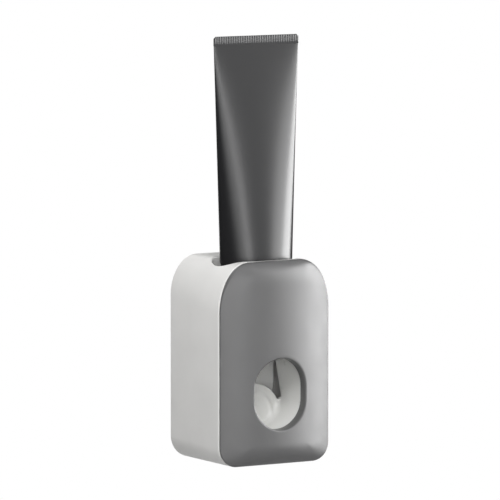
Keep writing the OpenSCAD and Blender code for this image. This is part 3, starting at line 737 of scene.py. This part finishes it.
def make_cover():
    shape = Shape()
    edge = outline()
    columns = [CoverColumn(edge, i) for i in range(len(edge))]
    fine = [FACE_EDGE * (1 - math.cos(math.radians(a))) for a in EDGE_ANGLES]
    wide = [ROLL_H * (1 - math.cos(math.radians(a))) for a in ROLL_ANGLES]
    insets = sorted(fine + [h for h in wide if h > FACE_EDGE])

    def face_ring(place_of):
        return shape.ring([place_of(column) for column in columns])

    def on_face(column, inset):
        point = column.at(inset)
        return (point.x, seam_front - column.depth(inset), point.y)

    rings = [face_ring(lambda c, h=h: on_face(c, h)) for h in insets]
    for k in range(1, FACE_RINGS + 1):
        rings.append(face_ring(lambda c, k=k: on_face(c, mix(ROLL_H, c.reach, k / FACE_RINGS))))
    for k in range(1, EDGE_STEPS + 1):
        t = k / EDGE_STEPS

        def rounding(column, t=t):
            x, z = hole_rim(*column.start, 0)
            start = column.hole
            edge_y = seam_front - rim_d - bulge(x)
            start_y = seam_front - rim_d - bulge(start.x)
            y = bend(start_y, edge_y, edge_y + HOLE_EDGE, t)
            return (bend(start.x, x, x, t), y, bend(start.y, z, z, t))

        rings.append(face_ring(rounding))

    def on_collar(out, y):
        def point(column):
            x, z = hole_rim(*column.start, out)
            return (x, y, z)
        return face_ring(point)

    rings.append(on_collar(0, collar_y - COLLAR_EDGE))
    rings.append(on_collar(COLLAR_EDGE * ROUND_SHARE, collar_y - COLLAR_EDGE * ROUND_SHARE))
    rings.append(on_collar(COLLAR_EDGE, collar_y))
    rings.append(on_collar(COLLAR_WALL - COLLAR_EDGE, collar_y))
    rings.append(on_collar(COLLAR_WALL, collar_y - COLLAR_EDGE))

    def inside(column, inset):
        point = column.at(inset)
        stand = rim_d + bulge(point.x) * roll(inset, column.rolled)
        return (point.x, seam_front - max(stand - COVER_WALL, 0), point.y)

    def collar_foot(column):
        x, z = hole_rim(*column.start, COLLAR_WALL)
        return (x, seam_front - rim_d - bulge(x) + COVER_WALL, z)

    lip_in = LIP_INSET + LIP_WALL
    reveal_d = rim_y - REVEAL_PLAY - seam_front
    rings.append(face_ring(collar_foot))
    for k in range(INSIDE_RINGS, 0, -1):
        share = k / INSIDE_RINGS
        rings.append(face_ring(lambda c, t=share: inside(c, mix(lip_in, c.reach - COLLAR_WALL, t))))
    rings.append(face_ring(lambda c: inside(c, lip_in)))

    def lip(inset, back):
        """A ring behind the seam, which leaves the lip out where the tube's slot is."""
        places = outline(0, inset)

        def point(column):
            on_top = column.start.y > top_z - FRONT_CORNERS[1]
            near_slot = on_top and abs(column.start.x) < SLOT_W / 2 + SLOT_ROOM
            x, z = places[column.place]
            return (x, seam_front + (min(back, reveal_d) if near_slot else back), z)
        return face_ring(point)

    rings.append(lip(lip_in, LIP_D))
    rings.append(lip(LIP_INSET, LIP_D))
    rings.append(lip(LIP_INSET, reveal_d))
    rings.append(lip(REVEAL_INSET, reveal_d))
    rings.append(lip(REVEAL_INSET, 0))
    rings.append(lip(COVER_EDGE, 0))
    shape.skin(rings, "joined")
    return mesh_object("cover_shell", shape)


# Push lever

FLOOR_STEPS = 128
ARM_STEPS = 26
EYE_STEPS = 12
CHEEK_ROWS = 12
PLATE_ROWS = 24
FILLET_ROWS = 8
BACK_ROWS = 6
OUTSIDE_ROWS = 6
SOFT_STEPS = 4
BORE_SIDES = 40
BAR_SIDES = 32
LEVER_SOFT = 0.35 * MM
LEVER_SMOOTH = 40
NOTCH_SHARE = 0.14    # how much of each side's edge goes round its notch
TIP_SHARE = 0.4       # the most of a short plate that its rounded edge may take
FILLET_SHARE = 0.6    # and the most that its fillet may take
SHORTEST = 0.02 * MM
lever_front_y = lever_low.y
push_y = seam_y + PLATE_IN
scoop_z = bottom_z + SCOOP_RISE
tongue_z = bottom_z + TONGUE_RISE
notch_z = bottom_z + NOTCH_RISE
pivot_y = axis_y + PIVOT_BACK
pivot_z = bottom_z + PIVOT_RISE
bar_y = axis_y - BAR_BACK
bar_z = bottom_z + BAR_RISE
tongue_foot = math.sqrt(TONGUE_R ** 2 - (notch_z + NOTCH_R - tongue_z) ** 2)


def scoop_half_width(z):
    """Half width of the scoop's inside at a height."""
    if z >= scoop_z:
        return SCOOP_R
    return math.sqrt(max(SCOOP_R ** 2 - (scoop_z - z) ** 2, 0))


def fillet_at(z):
    """Radius between the scoop's cheeks or floor and its rear face, which is small beside the notches."""
    return mix(NOTCH_FILLET, SCOOP_FILLET, smooth_step((notch_z - z) / FILLET_GROWTH))


def plate_depth(x, z, fillet):
    """Depth of the scoop's rear face, which curves into the floor and cheeks."""
    from_wall = SCOOP_R - math.hypot(x, min(z - scoop_z, 0))
    left = clamp(1 - from_wall / fillet, 0, 1)
    ridge = RING_T * math.exp(-((math.hypot(x, z - tongue_z) - RING_R) / RING_SOFT) ** 2)
    return push_y - fillet + fillet * math.sqrt(1 - left * left) - ridge


def tongue_edge(share):
    """Upper edge of the push plate, from the left cheek round the notch and over the tongue."""
    side = -1 if share < 0.5 else 1
    t = 1 - abs(2 * share - 1)
    notch_x = mix(tongue_foot, SCOOP_R, 0.5)
    if t < NOTCH_SHARE:
        a = math.pi * t / NOTCH_SHARE
        wide = (scoop_half_width(notch_z + NOTCH_R) - tongue_foot) / 2
        return side * (notch_x + wide * math.cos(a)), notch_z + NOTCH_R * (1 - math.sin(a))
    first = math.atan2(notch_z + NOTCH_R - tongue_z, tongue_foot)
    a = mix(first, math.pi / 2, (t - NOTCH_SHARE) / (1 - NOTCH_SHARE))
    return side * TONGUE_R * math.cos(a), tongue_z + TONGUE_R * math.sin(a)


def arm_rear(z):
    """Depth of an arm's rear edge at a height: leaning back, upright, then round the eye."""
    if z > pivot_z:
        return pivot_y + math.sqrt(max(EYE_R ** 2 - (z - pivot_z) ** 2, 0))
    return min(push_y + ARM_FOOT + (z - notch_z) * math.tan(ARM_LEAN), pivot_y + EYE_R)


def arm_front(z):
    """Depth of an arm's front edge at a height."""
    bends = [(bottom_z, lever_front_y), (bar_z - BAR_R, lever_front_y),
             (bar_z + 2 * BAR_R, bar_y - BAR_R), (pivot_z, pivot_y - EYE_R)]
    if z > pivot_z:
        return pivot_y - math.sqrt(max(EYE_R ** 2 - (z - pivot_z) ** 2, 0))
    for (z0, y0), (z1, y1) in zip(bends, bends[1:]):
        if z <= z1:
            return mix(y0, y1, (z - z0) / (z1 - z0))
    return bends[-1][1]


def wall_point(x, z, out, y):
    """A point in the scoop's wall, outwards from a place (x, z) on its inside."""
    away = Vector((x, min(z - scoop_z, 0))).normalized()
    return (x + away.x * out, y, z + away.y * out)


def quarter_turn(first=0):
    """Sine and cosine pairs of the steps of a rounded edge."""
    return [(math.sin(math.pi / 2 * k / SOFT_STEPS), math.cos(math.pi / 2 * k / SOFT_STEPS))
            for k in range(first, SOFT_STEPS + 1)]


def outer_half(x, z, front, rear, soft):
    """The part of a cut through the wall that runs over its rear, its outside and its front edge."""
    wall = [(LEVER_WALL - soft + soft * s, rear - soft + soft * c) for s, c in quarter_turn()]
    rows = range(1, OUTSIDE_ROWS + 1)
    wall += [(LEVER_WALL, mix(rear - soft, front + soft, k / OUTSIDE_ROWS)) for k in rows]
    wall += [(LEVER_WALL - soft + soft * c, front + soft - soft * s) for s, c in quarter_turn(1)]
    wall += [(soft - soft * s, front + soft - soft * c) for s, c in quarter_turn()[:-1]]
    return [wall_point(x, z, out, y) for out, y in wall]


def arm_cut(side, z):
    """A level cut through an arm, with its unused plate points gathered in one place."""
    x = side * scoop_half_width(z)
    front, rear = arm_front(z), arm_rear(z)
    soft = min(LEVER_SOFT, (rear - front) / 3)
    points = [wall_point(x, z, 0, mix(front + soft, rear - soft, k / CHEEK_ROWS))
              for k in range(CHEEK_ROWS + 1)]
    points += [points[-1]] * PLATE_ROWS
    points += [wall_point(x, z, soft - soft * c, rear - soft + soft * s) for s, c in quarter_turn(1)]
    points += [points[-1]] * (SOFT_STEPS + 1 + BACK_ROWS)
    return points + outer_half(x, z, front, rear, soft)


def scoop_cut(share, low_angle):
    """An upright cut through the floor and the push plate, at a share of the way round the floor."""
    a = mix(-low_angle, low_angle, share)
    x, z = SCOOP_R * math.sin(a), scoop_z - SCOOP_R * math.cos(a)
    fillet = fillet_at(z)
    front, rear = lever_front_y, push_y + LEVER_WALL
    foot = Vector((x, z))
    end = Vector(tongue_edge(share))
    length = max((end - foot).length, SHORTEST)
    along = (end - foot) / length
    soft = min(LEVER_SOFT, TIP_SHARE * length)
    tip = end - along * soft
    fillet_share = min(fillet / length, FILLET_SHARE)
    points = [wall_point(x, z, 0, mix(front + LEVER_SOFT, push_y - fillet, k / CHEEK_ROWS))
              for k in range(CHEEK_ROWS + 1)]
    for k in range(1, PLATE_ROWS + 1):
        if k <= FILLET_ROWS:
            t = fillet_share * (1 - math.cos(math.pi / 2 * k / FILLET_ROWS))
        else:
            t = mix(fillet_share, 1, (k - FILLET_ROWS) / (PLATE_ROWS - FILLET_ROWS))
        at = foot.lerp(tip, t)
        points.append((at.x, plate_depth(at.x, at.y, fillet), at.y))
    face_y = points[-1][1]
    rim = [(tip + along * soft * s, face_y + soft * (1 - c)) for s, c in quarter_turn(1)]
    rim += [(tip + along * soft * c, rear - soft + soft * s) for s, c in quarter_turn()]
    outer_x, _, outer_z = wall_point(x, z, LEVER_WALL - LEVER_SOFT, rear)
    outer = Vector((outer_x, outer_z))
    rim += [(tip.lerp(outer, k / (BACK_ROWS + 1)), rear) for k in range(1, BACK_ROWS + 1)]
    points += [(at.x, y, at.y) for at, y in rim]
    return points + outer_half(x, z, front, rear, LEVER_SOFT)


def drill(obj, y, z, radius, half_length):
    """Bores a hole through an object along X."""
    shape = Shape()
    turns = [math.tau * k / BORE_SIDES for k in range(BORE_SIDES)]
    shape.skin([shape.ring([(x, y + radius * math.cos(a), z + radius * math.sin(a)) for a in turns])
                for x in (-half_length, half_length)], "capped")
    drill_bit = mesh_object("drill", shape)
    cut = obj.modifiers.new("bore", "BOOLEAN")
    cut.operation = "DIFFERENCE"
    cut.solver = "EXACT"
    cut.object = drill_bit
    apply_modifiers(obj)
    bpy.data.objects.remove(drill_bit)


def make_lever():
    """The scoop, push plate and arms as one wall, followed from one eye round the floor to the other."""
    shape = Shape()
    low_z = notch_z + NOTCH_R
    low_angle = math.acos((scoop_z - low_z) / SCOOP_R)
    heights = [mix(low_z, pivot_z, k / ARM_STEPS) for k in range(ARM_STEPS + 1)]
    turns = [math.pi / 2 * k / EYE_STEPS for k in range(1, EYE_STEPS)]
    heights += [pivot_z + EYE_R * math.sin(a) for a in turns]
    left = [arm_cut(-1, z) for z in reversed(heights)]
    lower = [scoop_cut(s / FLOOR_STEPS, low_angle) for s in range(1, FLOOR_STEPS)]
    right = [arm_cut(1, z) for z in heights]
    shape.skin([shape.ring(cut) for cut in left + lower + right], "capped")
    lever = mesh_object("lever_scoop", shape, LEVER_SMOOTH)
    drill(lever, pivot_y, pivot_z, PIN_BORE_R, SCOOP_R + 2 * LEVER_WALL)
    lever.data.shade_smooth()
    lever.data.set_sharp_from_angle(angle=math.radians(LEVER_SMOOTH))
    return lever


def make_bar():
    """The bar between the arms that squeezes the pump."""
    shape = Shape()
    end = SCOOP_R + LEVER_WALL / 2
    profile = [(0.0, -end), (BAR_R, -end), (BAR_R, end), (0.0, end)]
    shape.lathe(profile, lambda a, b, x: (x, bar_y + a, bar_z + b), BAR_SIDES)
    return mesh_object("lever_bar", shape)


# Shield on the pump frame

BLOCK_IN = 30.31 * MM
SHIELD_W = 36.8 * MM
SHIELD_T = 1.6 * MM
SHIELD_PROUD = 0.06 * MM
SHIELD_EDGE = 0.3 * MM
SHIELD_ROWS = 10
BEND_SOFT = 1 * MM
SHIELD_RISE = 26.5 * MM
SHIELD_BEND_RISE = 35.5 * MM
SHIELD_TOP_RISE = 52 * MM
LEVER_TRAVEL = math.radians(13)
block_front_y = seam_y + BLOCK_IN


def make_shield():
    """The frame's front face behind the lever, whose lower part leans back as the pushed lever does."""
    shape = Shape()
    bend_z = bottom_z + SHIELD_BEND_RISE
    low_z = bottom_z + SHIELD_RISE
    plate_y = block_front_y - SHIELD_PROUD
    soft = SHIELD_EDGE
    lean = math.tan(LEVER_TRAVEL)
    upright_z = bend_z + 2 * BEND_SOFT
    heights = [bottom_z + SHIELD_TOP_RISE]
    heights += [mix(upright_z, low_z, k / SHIELD_ROWS) for k in range(SHIELD_ROWS + 1)]
    front = []
    for z in heights:
        under = max(bend_z + BEND_SOFT - z, 0)
        curved = min(under, BEND_SOFT) ** 2 / (2 * BEND_SOFT)
        front.append((plate_y + lean * (curved + max(under - BEND_SOFT, 0)), z))
    back = [(y + SHIELD_T, z) for y, z in reversed(front)]
    loop = front[:-1] + [(front[-1][0], low_z + soft), (front[-1][0] + soft, low_z)]
    loop += [(back[0][0] - soft, low_z), (back[0][0], low_z + soft)] + back[1:]
    half = SHIELD_W / 2
    rings = [shape.ring([(x, y + inset, z) if k < len(front) + 1 else (x, y - inset, z)
                         for k, (y, z) in enumerate(loop)])
             for x, inset in ((-half, soft), (soft - half, 0), (half - soft, 0), (half, soft))]
    shape.skin(rings, "capped")
    return mesh_object("frame_shield", shape)


# Toothpaste tube

TUBE_SIDES = 112
LOWER_ROWS = 16
UPPER_ROWS = 48
RIB_STEPS = 8
TUBE_SMOOTH = 50
flat_z = sleeve_high.z - CRIMP_H
entry_z = sleeve_low.z + ENTRY_RISE


def turned(x, y, z):
    """Turns a point of the tube about its axis, towards the viewer's left."""
    c, s = math.cos(TUBE_TURN), math.sin(TUBE_TURN)
    return (x * c + y * s, axis_y + y * c - x * s, z)


def tube_ring(half_wide, half_deep, z):
    angles = [math.tau * k / TUBE_SIDES for k in range(TUBE_SIDES)]
    return [turned(half_wide * math.cos(a), half_deep * math.sin(a), z) for a in angles]


def make_tube():
    shape = Shape()
    low_z = sleeve_low.z
    corner = TUBE_EDGE * ROUND_SHARE
    rows = [(TUBE_R - RIM_T, TUBE_R - RIM_T, low_z), (TUBE_R - TUBE_EDGE, TUBE_R - TUBE_EDGE, low_z),
            (TUBE_R - corner, TUBE_R - corner, low_z + corner)]
    half_entry = (ENTRY_W / 2, ENTRY_D / 2)
    half_fin = (FIN_W / 2, CRIMP_T / 2)
    for k in range(1, LOWER_ROWS + 1):
        t = k / LOWER_ROWS
        rows.append((*(mix(TUBE_R, half, smooth_step(t)) for half in half_entry), mix(low_z, entry_z, t)))
    for k in range(1, UPPER_ROWS + 1):
        t = k / UPPER_ROWS
        rows.append((*(mix(a, b, t) for a, b in zip(half_entry, half_fin)), mix(entry_z, flat_z, t)))
    shape.skin([shape.ring(tube_ring(*row)) for row in rows], "capped")
    add_crimp(shape)
    return mesh_object("tube_body", shape, TUBE_SMOOTH)


def drawn_in(x, limit):
    """Draws the outermost columns of the crimp in to the limit, so that none fall together."""
    inner = FIN_W / 2 - 2 * CRIMP_BEVEL
    over = abs(x) - inner
    if over <= 0:
        return x
    return math.copysign(inner + over * (limit - inner) / (FIN_W / 2 - inner), x)


def add_crimp(shape):
    """The pressed end: upright ribs, plain at their foot, with bevelled upper corners."""
    step = FIN_W / CRIMP_RIBS / RIB_STEPS
    count = CRIMP_RIBS * RIB_STEPS
    high_z = sleeve_high.z
    rows = [(flat_z - CRIMP_ROOT, 0, 0), (flat_z + RIBS_START, 0, 0), (flat_z + RIBS_FULL, 1, 0),
            (high_z - CRIMP_BEVEL, 1, 0), (high_z - CRIMP_EDGE_H, 1, 0), (high_z, 1, CRIMP_EDGE_T)]
    rings = []
    for z, ribbed, slim in rows:
        limit = FIN_W / 2 - max(z - (high_z - CRIMP_BEVEL), 0)
        front = []
        for i in range(count + 1):
            x = drawn_in(-FIN_W / 2 + i * step, limit)
            wave = 0.5 + 0.5 * math.cos(math.tau * i / RIB_STEPS)
            half = CRIMP_T / 2 - slim - ribbed * GROOVE_D * wave
            if i in (0, count):
                half *= CRIMP_END_SHARE
            front.append((x, half))
        points = [turned(x, -y, z) for x, y in front] + [turned(x, y, z) for x, y in reversed(front)]
        rings.append(shape.ring(points))
    shape.skin(rings, "open")
    for ring in (rings[0], rings[-1]):
        half = len(ring) // 2
        shape.band(ring[:half], ring[:half - 1:-1], closed=False)


SHOULDER_SIDES = 72
THREAD_ROWS = 44
SLOPE_ROWS = 8


def make_shoulder():
    """The moulded shoulder with its threaded neck."""
    shape = Shape()
    neck_z = shoulder_low.z
    low_z = shoulder_high.z - SHOULDER_H
    core_r = THREAD_R - THREAD_D
    outer_r = TUBE_R - SHOULDER_PLAY
    thread_first, thread_last = neck_z + THREAD_FOOT, low_z - THREAD_END

    def thread(a, z):
        turn = (z - thread_first) / THREAD_PITCH - a / math.tau
        ridge = smooth_step(1.6 - 3.6 * abs(turn - math.floor(turn) - 0.5))
        ends = smooth_step((z - thread_first) / MM) * smooth_step((thread_last - z) / MM)
        return core_r + THREAD_D * ridge * ends

    def level(radius_of, z):
        ring = []
        for k in range(SHOULDER_SIDES):
            a = math.tau * k / SHOULDER_SIDES
            r = radius_of(a)
            ring.append((r * math.cos(a), axis_y + r * math.sin(a), z))
        return shape.ring(ring)

    def plain(profile):
        return [level(lambda a, r=r: r, z) for r, z in profile]

    corner = NECK_FILLET * ROUND_SHARE
    slope_start = (THREAD_R + SHOULDER_TOE_W + SHOULDER_TOE_EDGE, low_z + SHOULDER_TOE_H)
    rim_z = shoulder_high.z - SHOULDER_RIM_H
    slope_end = (TUBE_R - SHOULDER_EDGE, rim_z - SHOULDER_EDGE * SHOULDER_SLOPE)
    rings = plain([(NECK_BORE_R, low_z + MM), (NECK_BORE_R, neck_z + NECK_BORE_EDGE),
                   (NECK_BORE_R + NECK_BORE_EDGE, neck_z), (core_r - NECK_EDGE, neck_z),
                   (core_r, neck_z + NECK_EDGE)])
    for k in range(1, THREAD_ROWS + 1):
        z = mix(neck_z + NECK_EDGE, low_z - NECK_FILLET, k / THREAD_ROWS)
        rings.append(level(lambda a, z=z: thread(a, z), z))
    rings += plain([(core_r + corner, low_z - corner), (core_r + NECK_FILLET, low_z),
                    (THREAD_R + SHOULDER_TOE_W, low_z)])
    rings += plain([(mix(slope_start[0], slope_end[0], k / SLOPE_ROWS),
                     mix(slope_start[1], slope_end[1], k / SLOPE_ROWS)) for k in range(SLOPE_ROWS + 1)])
    rings += plain([(TUBE_R - 0.15 * MM, rim_z + 0.1 * MM), (outer_r, rim_z + SHOULDER_RIM_H / 2),
                    (outer_r, shoulder_high.z), (TUBE_R - RIM_T, shoulder_high.z)])
    shape.skin(rings, "joined")
    return mesh_object("tube_shoulder_neck", shape)


# Pieces

place(make_housing(), "housing", housing_white, "housing_white", "housing")
place(make_cover(), "cover", cover_grey, "cover_grey", "front_cover")
place(make_lever(), "lever", lever_white, "lever_white", "push_lever")
place(make_bar(), "lever", lever_white, "lever_white", "push_lever")
place(make_shield(), "housing", frame_white, "frame_white")
place(make_tube(), "tube", tube_laminate, "tube_laminate", "tube_sleeve")
place(make_shoulder(), "tube", tube_white, "tube_white", "tube_shoulder")

CARRIED = {
    "adhesive_pad": pad_foam,
    "wall_plate": frame_white,
    "pump_frame": frame_white,
    "frame_screws": steel_plain,
    "pivot_pins": steel_plain,
    "return_spring_left": steel_plain,
    "return_spring_right": steel_plain,
    "outlet_nozzle": lever_white,
    "outlet_valve": silicone,
    "silicone_pump": silicone,
    "valve_seat": lever_white,
    "inlet_valve": silicone,
    "inlet_sleeve": silicone,
    "sleeve_ring": frame_white,
    "ring_screws": steel_plain,
}
SOFT_EDGES = {"adhesive_pad": 0.3, "wall_plate": 0.3, "pump_frame": 0.2, "sleeve_ring": 0.25}    # mm


def finish_node(name, material):
    """Gives a CAD node its material, joined points and softened edges."""
    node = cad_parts[name]
    node.data.materials.clear()
    node.data.materials.append(material)
    weld = node.modifiers.new("weld", "WELD")
    weld.merge_threshold = SLIVER_LENGTH
    if name in SOFT_EDGES:
        edges = node.modifiers.new("soft edges", "BEVEL")
        edges.width = SOFT_EDGES[name] * MM
        edges.segments = 2
        edges.limit_method = "ANGLE"
        edges.angle_limit = math.radians(40)
        edges.harden_normals = True


for node_name, node_material in CARRIED.items():
    finish_node(node_name, node_material)


# Stage, lights and camera

FLOOR_Z = -0.35
FLOOR_R = 1.6
FLOOR_SIDES = 96
FADE_START = 0.45 * FLOOR_R
FADE_END = 0.98 * FLOOR_R
AMBIENT = 0.14
CAMERA_AZIMUTH = -31.5
CAMERA_ELEVATION = 6.3
CAMERA_LENS = 600
CAMERA_SENSOR = 36
PIXELS_ACROSS = 500
PIXELS_PER_MM = 2.045
CAMERA_TARGET = Vector((-2.48, -29.18, 53.6)) * MM


def direction(azimuth, elevation):
    """Unit vector from the object towards a place round it; azimuth 0 is the front."""
    a, e = math.radians(azimuth), math.radians(elevation)
    return Vector((math.sin(a) * math.cos(e), -math.cos(a) * math.cos(e), math.sin(e)))


def make_floor():
    """A pale floor that fades out towards its rim."""
    turns = [math.tau * k / FLOOR_SIDES for k in range(FLOOR_SIDES)]
    rim = [(FLOOR_R * math.cos(a), FLOOR_R * math.sin(a), FLOOR_Z) for a in turns]
    mesh = bpy.data.meshes.new("floor")
    mesh.from_pydata(rim, [], [list(range(FLOOR_SIDES))])
    floor = add_object("floor", mesh)
    material, tree, shader = new_material("floor_white")
    tone = ramp(tree, noise(tree, FLOOR_PATCH_SCALE), 0.76, 0.8)
    feed(shader, {"Base Color": tone, "Roughness": 0.9, "Specular IOR Level": 0.1})
    where = add_node(tree, "ShaderNodeTexCoord").outputs["Object"]
    length = add_node(tree, "ShaderNodeVectorMath", {0: where}, operation="LENGTH").outputs["Value"]
    share = add_node(tree, "ShaderNodeMapRange", {
        "Value": length, "From Min": FADE_START, "From Max": FADE_END})
    clear = add_node(tree, "ShaderNodeBsdfTransparent")
    fade = add_node(tree, "ShaderNodeMixShader", {
        "Fac": share.outputs["Result"], 1: shader.outputs["BSDF"], 2: clear.outputs["BSDF"]})
    output = next(n for n in tree.nodes if n.type == "OUTPUT_MATERIAL")
    feed(output, {"Surface": fade.outputs["Shader"]})
    mesh.materials.append(material)


def make_lamp(name, azimuth, elevation, distance, width, height, radiance, seen_in):
    """A soft box turned to the object, which may show in gloss alone or light surfaces alone."""
    data = bpy.data.lights.new(name, "AREA")
    data.shape = "RECTANGLE"
    data.size = width
    data.size_y = height
    data.energy = radiance * math.pi * width * height
    lamp = add_object(name, data)
    lamp.visible_diffuse = seen_in != "gloss"
    lamp.visible_glossy = seen_in != "surfaces"
    away = direction(azimuth, elevation)
    lamp.location = CAMERA_TARGET + away * distance
    lamp.rotation_euler = away.to_track_quat("Z", "Y").to_euler()


def make_flag(name, azimuth, distance, width, height):
    """A dark card beside the object that only shows in reflections."""
    away = direction(azimuth, 0)
    across = Vector((-away.y, away.x, 0)) * width / 2
    middle = CAMERA_TARGET + away * distance
    up = Vector((0, 0, height / 2))
    corners_at = [middle - across - up, middle + across - up, middle + across + up, middle - across + up]
    mesh = bpy.data.meshes.new(name)
    mesh.from_pydata(corners_at, [], [(0, 1, 2, 3)])
    flag = add_object(name, mesh)
    material, tree, shader = new_material(name)
    tone = ramp(tree, noise(tree, CARD_PATCH_SCALE), 0.004, 0.01)
    feed(shader, {"Base Color": tone, "Roughness": 1, "Specular IOR Level": 0})
    mesh.materials.append(material)
    for ray in ("camera", "diffuse", "shadow", "transmission"):
        setattr(flag, "visible_" + ray, False)


def make_world(ambient):
    """Even light for surfaces, and a white background for the camera, for gloss and for clear pieces."""
    world = bpy.data.worlds.new("studio")
    bpy.context.scene.world = world
    world.use_nodes = True
    tree = world.node_tree
    tree.nodes.clear()
    even, white = (add_node(tree, "ShaderNodeBackground", {"Color": (1, 1, 1, 1), "Strength": strength})
                   for strength in (ambient, 1))
    rays = add_node(tree, "ShaderNodeLightPath")
    seen = rays.outputs["Is Camera Ray"]
    for ray in ("Is Glossy Ray", "Is Transmission Ray"):
        most = add_node(tree, "ShaderNodeMath", {0: seen, 1: rays.outputs[ray]}, operation="MAXIMUM")
        seen = most.outputs["Value"]
    choose = add_node(tree, "ShaderNodeMixShader", {
        "Fac": seen, 1: even.outputs["Background"], 2: white.outputs["Background"]})
    add_node(tree, "ShaderNodeOutputWorld", {"Surface": choose.outputs["Shader"]})


def make_camera():
    data = bpy.data.cameras.new("camera")
    data.lens = CAMERA_LENS
    data.sensor_width = CAMERA_SENSOR
    camera = add_object("camera", data)
    across = PIXELS_ACROSS / PIXELS_PER_MM * MM
    away = direction(CAMERA_AZIMUTH, CAMERA_ELEVATION)
    camera.location = CAMERA_TARGET + away * across * CAMERA_LENS / CAMERA_SENSOR
    camera.rotation_euler = away.to_track_quat("Z", "Y").to_euler()
    bpy.context.scene.camera = camera


# Name, azimuth and elevation in degrees, distance, width, height, radiance, where it shows
LAMPS = (
    ("key_inner", 44, 12, 0.8, 0.42, 0.8, 5, "gloss"),
    ("key_outer", 69, 9, 0.8, 0.46, 0.8, 13, "gloss"),
    ("strip", -7, 0, 0.8, 0.07, 0.5, 10, "gloss"),
    ("strip_soft", -17, 0, 0.8, 0.12, 0.8, 2, "gloss"),
    ("right", 85, 12, 0.8, 0.5, 0.5, 3, "surfaces"),
    ("front_left", -56, 4, 0.36, 0.2, 0.2, 0.5, "surfaces"),
    ("left_high", -84, 25, 0.26, 0.15, 0.15, 2.6, "surfaces"),
    ("front_top", -30, 46, 0.9, 0.5, 0.5, 6.2, "surfaces"),
    ("front_low", -26, 5, 0.9, 0.38, 0.3, 6.2, "surfaces"),
    ("back", 170, 10, 0.9, 0.6, 0.6, 1.8, "all"),
)
# Name, azimuth in degrees, distance, width, height
FLAGS = (
    ("flag_left", -115, 0.6, 1.4, 1.2),
    ("flag_front_left", -50, 0.6, 0.4, 1.2),
    ("flag_right", 123, 0.6, 0.8, 1.2),
)

make_floor()
make_world(AMBIENT)
for lamp_facts in LAMPS:
    make_lamp(*lamp_facts)
for flag_facts in FLAGS:
    make_flag(*flag_facts)
make_camera()
bpy.context.scene.view_settings.view_transform = "Standard"
